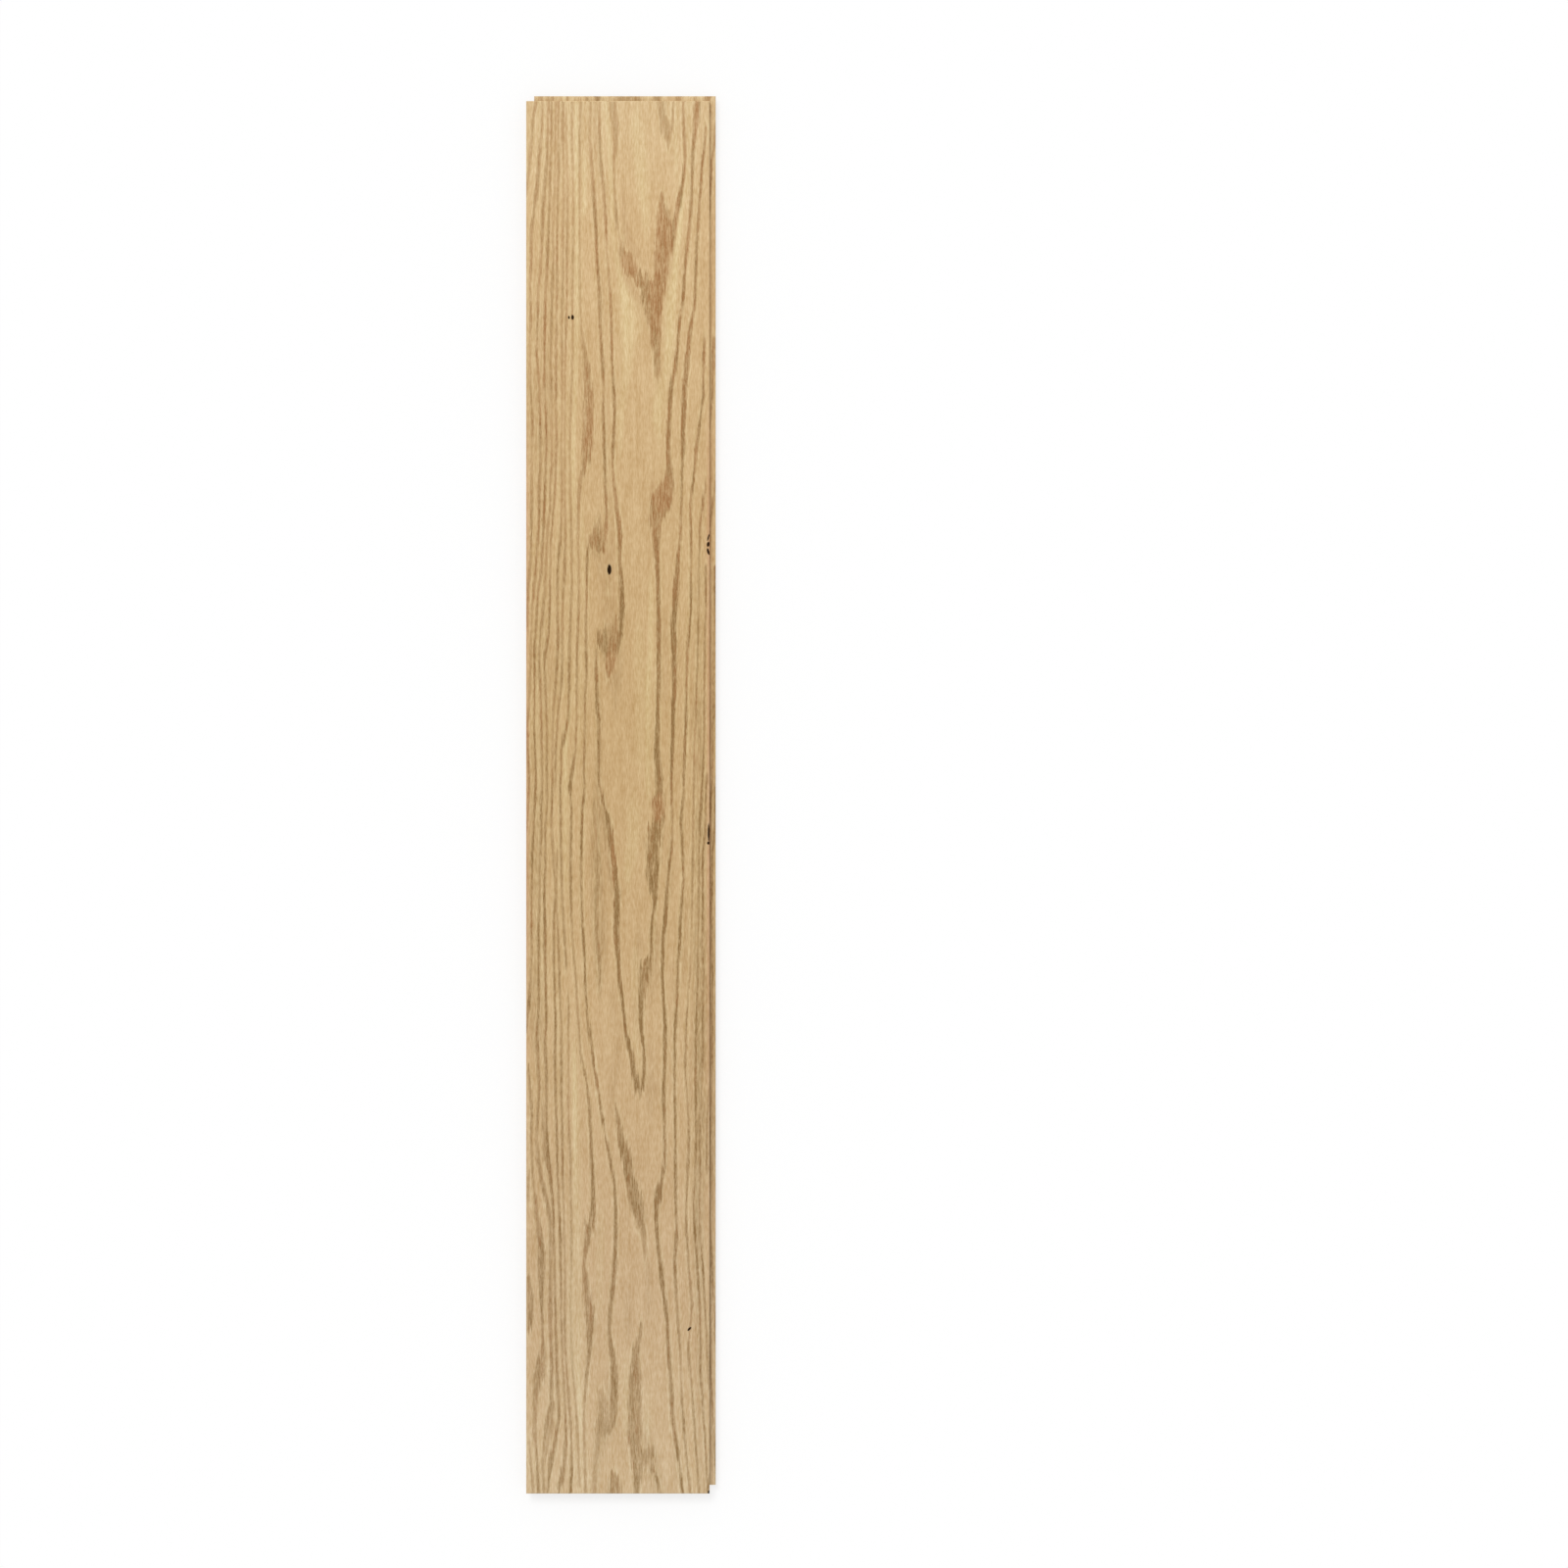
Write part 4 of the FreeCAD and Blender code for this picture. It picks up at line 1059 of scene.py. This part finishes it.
# The bands' insides: their mean strength, how far noises wear it, and how it falls with breadth
STRENGTH = 0.82
PATCHY_WEAR = 0.45
LOOSE_WEAR = 0.1
BEAD_WEAR = 0.28
VESSEL_WEAR = 0.3
BREADTHS = (1.4, 4.5)
BROAD_STRENGTH = 0.84
STAIN_STRENGTH = 0.26
STAIN_WEAR = 0.3
CLOUDY_WARMTH = 0.5
PATCHY_WARMTH = 0.4

# The pale late wood, in the strips and as a rim beside the bands
RIM_EDGES = (-3.0, -1.6)
RIM_CORE = 0.5
RIM_SHARE = 0.5
PALE_SHARE = 0.8
PALE_STREAKS = 0.5

# How far each noise makes the wood lighter or darker
GRAIN_SHARES = {"fibres": 0.36, "shade": 0.17, "streaks": 0.08, "ripples": 0.05, "vessels": -0.3}
GRAIN_MIDDLE = 0.5

# End grain by how far a surface faces along the board, the edges of the knots and of the
# shade-painted edge chips, and the clear finish
END_GRAIN_EDGES = (0.7, 0.95)
KNOT_RAG = 0.12
KNOT_EDGES = (0.0, 0.35)
BAND_RELIEF = -0.5
VESSEL_RELIEF = -0.7
BUMP_STRENGTH = 0.35
BUMP_HEIGHT = 0.0001
ROUGHNESS = 0.56
BAND_ROUGHNESS = 0.1
SHINE = 0.3
KNOT_DULLNESS = 0.25


def spot_nodes(r):
    """How far inside a dark spot each place lies, 1 in its middle and below 0 outside it."""
    inside = -1.0
    for down, across, half_height, half_width, lean, _ in DARK_SPOTS:
        x, y = board_place(across, down)
        place = r.node("ShaderNodeMapping", {
            "Vector": r.place(), "Location": (x * MM, y * MM, THICKNESS * MM),
            "Rotation": (0, 0, -math.radians(lean)),
            "Scale": (half_width * PIXEL * MM, half_height * PIXEL * MM, SPOT_ROOM * MM)},
            vector_type="TEXTURE")
        away = r.node("ShaderNodeVectorMath", {0: place.outputs[0]}, operation="LENGTH").outputs["Value"]
        inside = r.maths("MAXIMUM", inside, r.maths("SUBTRACT", 1.0, away))
    return inside


def wood_noises(r):
    """The wood's noises by name. The vessels are thin lines, from 0 to 1."""
    noises = {name: r.noise(*values) for name, values in NOISES.items()}
    noises["vessels"] = r.step(noises["vessels"], *VESSEL_EDGES)
    return noises


def plain_wood(r):
    """The wood between the bands, its own colour with painted shade, darker in the middle."""
    height = r.node("ShaderNodeSeparateXYZ", {0: r.place()}).outputs["Y"]
    share = r.maths("DIVIDE", r.maths("ADD", height, HALF_LENGTH * MM), 2 * HALF_LENGTH * MM)
    return r.ramp(share, [
        (min(max((board_place(0, down)[1] + HALF_LENGTH) / (2 * HALF_LENGTH), 0), 1), linear(*colour))
        for down, colour in reversed(PLAIN_WOOD_AND_SHADE)])


def band_shares(r, noise):
    """How far inside a growth band the wood lies, from 0 to 1, and how strongly the band shows
    there. The edges are ragged, most of all on broad bands, and the insides are worn."""
    breadth = r.attribute("breadth")
    loose = r.maths("MAXIMUM", r.product(r.maths("SUBTRACT", breadth, LOOSE_FROM), LOOSE_GAIN), 0.0)
    loose = r.maths("MINIMUM", loose, LOOSEST)
    edge = r.total(
        r.attribute("band"), r.product(noise["rag"], RAG), r.product(noise["sway"], SWAY),
        r.product(noise["tear"], loose))
    soft = r.total(SOFTNESS, r.product(loose, LOOSE_SOFTNESS))
    core = r.step(edge, r.product(soft, SOFT_LEAN), soft)
    halo = r.step(edge, *HALO_EDGES)
    patches = r.product(noise["patchy"], r.total(PATCHY_WEAR, r.product(loose, LOOSE_WEAR)))
    wear = r.total(
        STRENGTH, patches, r.product(noise["beads"], BEAD_WEAR), r.product(noise["vessels"], VESSEL_WEAR))
    inside = r.total(r.product(core, wear), r.product(halo, HALO_SHARE))
    broad = r.step(breadth, *BREADTHS, 1.0, BROAD_STRENGTH)
    return core, inside, r.product(inside, r.attribute("tone"), broad)


def pale_wood(r, noise, core, plain):
    """Plain wood with its pale late wood, in strips and as a rim beside the bands."""
    rim = r.product(
        r.step(r.attribute("band"), *RIM_EDGES), r.step(core, 0.0, RIM_CORE, 1.0, 0.0), RIM_SHARE)
    streaky = r.total(PALE_SHARE, r.product(noise["streaks"], PALE_STREAKS))
    pale = r.product(r.maths("MAXIMUM", r.attribute("pale"), rim), streaky)
    return r.mix(pale, plain, r.mix(1.0, plain, PALE_TINT, "MULTIPLY"))


def band_tint(r, noise):
    """The bands' colour, brown or reddish."""
    clouds, patches = r.product(noise["clouds"], CLOUDY_WARMTH), r.product(noise["patchy"], PATCHY_WARMTH)
    warm = r.total(r.attribute("warm"), clouds, patches)
    return r.mix(r.step(warm, 0.0, 1.0), BAND_TINT, WARM_TINT)


def oak():
    """Plain-sawn oak under a matt clear finish: plain and pale wood, darker growth bands with
    ragged edges, faint stains, fine vessels along the grain, pin knots, and chips along the tongued
    edge painted near-black as shade."""
    material, r = blank_material("oak")
    noise = wood_noises(r)
    core, inside, shown = band_shares(r, noise)
    worn = r.total(STAIN_STRENGTH, r.product(noise["patchy"], STAIN_WEAR))
    depth = r.maths("MAXIMUM", shown, r.product(r.attribute("stain"), worn))
    colour = pale_wood(r, noise, core, plain_wood(r))
    colour = r.mix(depth, colour, band_tint(r, noise), "MULTIPLY")
    colour = r.mix(r.attribute("blush"), colour, BLUSH_TINT, "MULTIPLY")

    grain = r.total(GRAIN_MIDDLE, *(r.product(noise[name], share) for name, share in GRAIN_SHARES.items()))
    colour = r.mix(1.0, colour, r.mix(grain, DARK_GRAIN, PALE_GRAIN), "MULTIPLY")
    normal = r.node("ShaderNodeSeparateXYZ", {0: r.node("ShaderNodeNewGeometry").outputs["True Normal"]})
    end_grain = r.step(r.maths("ABSOLUTE", normal.outputs["Y"]), *END_GRAIN_EDGES)
    colour = r.mix(end_grain, colour, END_TINT, "MULTIPLY")
    # The dark spots: real pin knots and flecks, and painted shade in the chips along the tongued edge
    knot_and_chip_shade = r.step(r.total(spot_nodes(r), r.product(noise["rag"], KNOT_RAG)), *KNOT_EDGES)
    colour = r.mix(knot_and_chip_shade, colour, KNOT_AND_CHIP_SHADE_COLOUR)

    relief = r.total(r.product(depth, BAND_RELIEF), r.product(noise["vessels"], VESSEL_RELIEF))
    bump = r.node("ShaderNodeBump", {"Strength": BUMP_STRENGTH, "Distance": BUMP_HEIGHT, "Height": relief})
    dull = r.product(knot_and_chip_shade, KNOT_DULLNESS)
    shader = r.node("ShaderNodeBsdfPrincipled", {
        "Base Color": colour, "Normal": bump.outputs[0],
        "Roughness": r.total(ROUGHNESS, r.product(inside, BAND_ROUGHNESS), dull),
        "Specular IOR Level": r.maths("SUBTRACT", SHINE, dull)})
    r.node("ShaderNodeOutputMaterial", {"Surface": shader.outputs[0]})
    return material


# The room: light levels, where a level of 1 shows a colour as it is written, the lamp's angles
# in degrees, and the floor's sizes in metres
SKY_LEVEL = 0.70
LAMP_LEVEL = 0.32
LAMP_TILT = 32
LAMP_TURN = 25
LAMP_SOFTNESS = 24
FLOOR_COLOUR = (0.98, 0.98, 0.98, 1)
FLOOR_GLOW = 0.7
FLOOR_SPAN = 12.0
FLOOR_DROP = 0.0002
WHITE = (1, 1, 1, 1)


def seen(r):
    """1 for what the camera sees, straight, mirrored or through glass, and 0 for other light."""
    rays = r.node("ShaderNodeLightPath").outputs
    indirect = r.maths("MAXIMUM", rays["Is Glossy Ray"], rays["Is Transmission Ray"])
    return r.maths("MAXIMUM", rays["Is Camera Ray"], indirect)


def floor_paint():
    """White, and whiter still to the camera, so that only a light shadow is left of the board."""
    material, r = blank_material("floor_paint")
    paint = r.node("ShaderNodeBsdfDiffuse", {"Color": FLOOR_COLOUR})
    glow = r.node("ShaderNodeEmission", {"Color": WHITE, "Strength": 1.0})
    share = r.product(seen(r), FLOOR_GLOW)
    shown = r.node("ShaderNodeMixShader", {0: share, 1: paint.outputs[0], 2: glow.outputs[0]})
    r.node("ShaderNodeOutputMaterial", {"Surface": shown.outputs[0]})
    return material


def light_room():
    """A white sky all round, and one soft lamp from beyond the tongue end and a little aside."""
    world = bpy.data.worlds.new("sky")
    world.use_nodes = True
    r = Recipe(world.node_tree)
    level = r.step(seen(r), 0.0, 1.0, SKY_LEVEL, 1.0)
    sky = r.node("ShaderNodeBackground", {"Color": WHITE, "Strength": level})
    r.node("ShaderNodeOutputWorld", {"Surface": sky.outputs[0]})
    bpy.context.scene.world = world

    lamp = bpy.data.lights.new("lamp", "SUN")
    lamp.angle = math.radians(LAMP_SOFTNESS)
    lamp.energy = LAMP_LEVEL * math.pi / math.cos(math.radians(LAMP_TILT))
    stand = bpy.data.objects.new("lamp", lamp)
    stand.rotation_euler = (-math.radians(LAMP_TILT), 0, math.radians(LAMP_TURN))
    bpy.context.collection.objects.link(stand)


def lay_floor():
    """The floor that the board lies on."""
    half = FLOOR_SPAN / 2
    mesh = bpy.data.meshes.new("floor")
    corners = [(-half, -half, 0), (half, -half, 0), (half, half, 0), (-half, half, 0)]
    mesh.from_pydata(corners, [], [(0, 1, 2, 3)])
    floor = bpy.data.objects.new("floor", mesh)
    floor.data.materials.append(floor_paint())
    floor.location.z = -FLOOR_DROP
    bpy.context.collection.objects.link(floor)


# The camera looks straight down at the face from far off: lens and sensor in millimetres, and
# how far it sees in metres
LENS = 100.0
SENSOR = 36.0
VIEW_REACH = 50


def set_camera():
    """Straight above, so that the face's four edges come where the photograph has them."""
    camera = bpy.data.objects.new("camera", bpy.data.cameras.new("camera"))
    camera.data.lens = LENS
    camera.data.sensor_width = SENSOR
    seen_width = PHOTO_SIDE * PIXEL * MM
    x, y = board_place(PHOTO_SIDE / 2, PHOTO_SIDE / 2)
    camera.location = (x * MM, y * MM, THICKNESS * MM + seen_width * LENS / SENSOR)
    camera.data.clip_end = VIEW_REACH
    bpy.context.collection.objects.link(camera)
    bpy.context.scene.camera = camera


def build_board():
    """The board, in place of the frame's plain one."""
    board = bpy.data.objects.new("floorboard_oak", board_mesh())
    board.data.materials.append(oak())
    bpy.context.collection.objects.link(board)
    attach(board, "root")
    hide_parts(NODE)


build_board()
lay_floor()
light_room()
set_camera()
bpy.context.scene.view_settings.view_transform = "Standard"
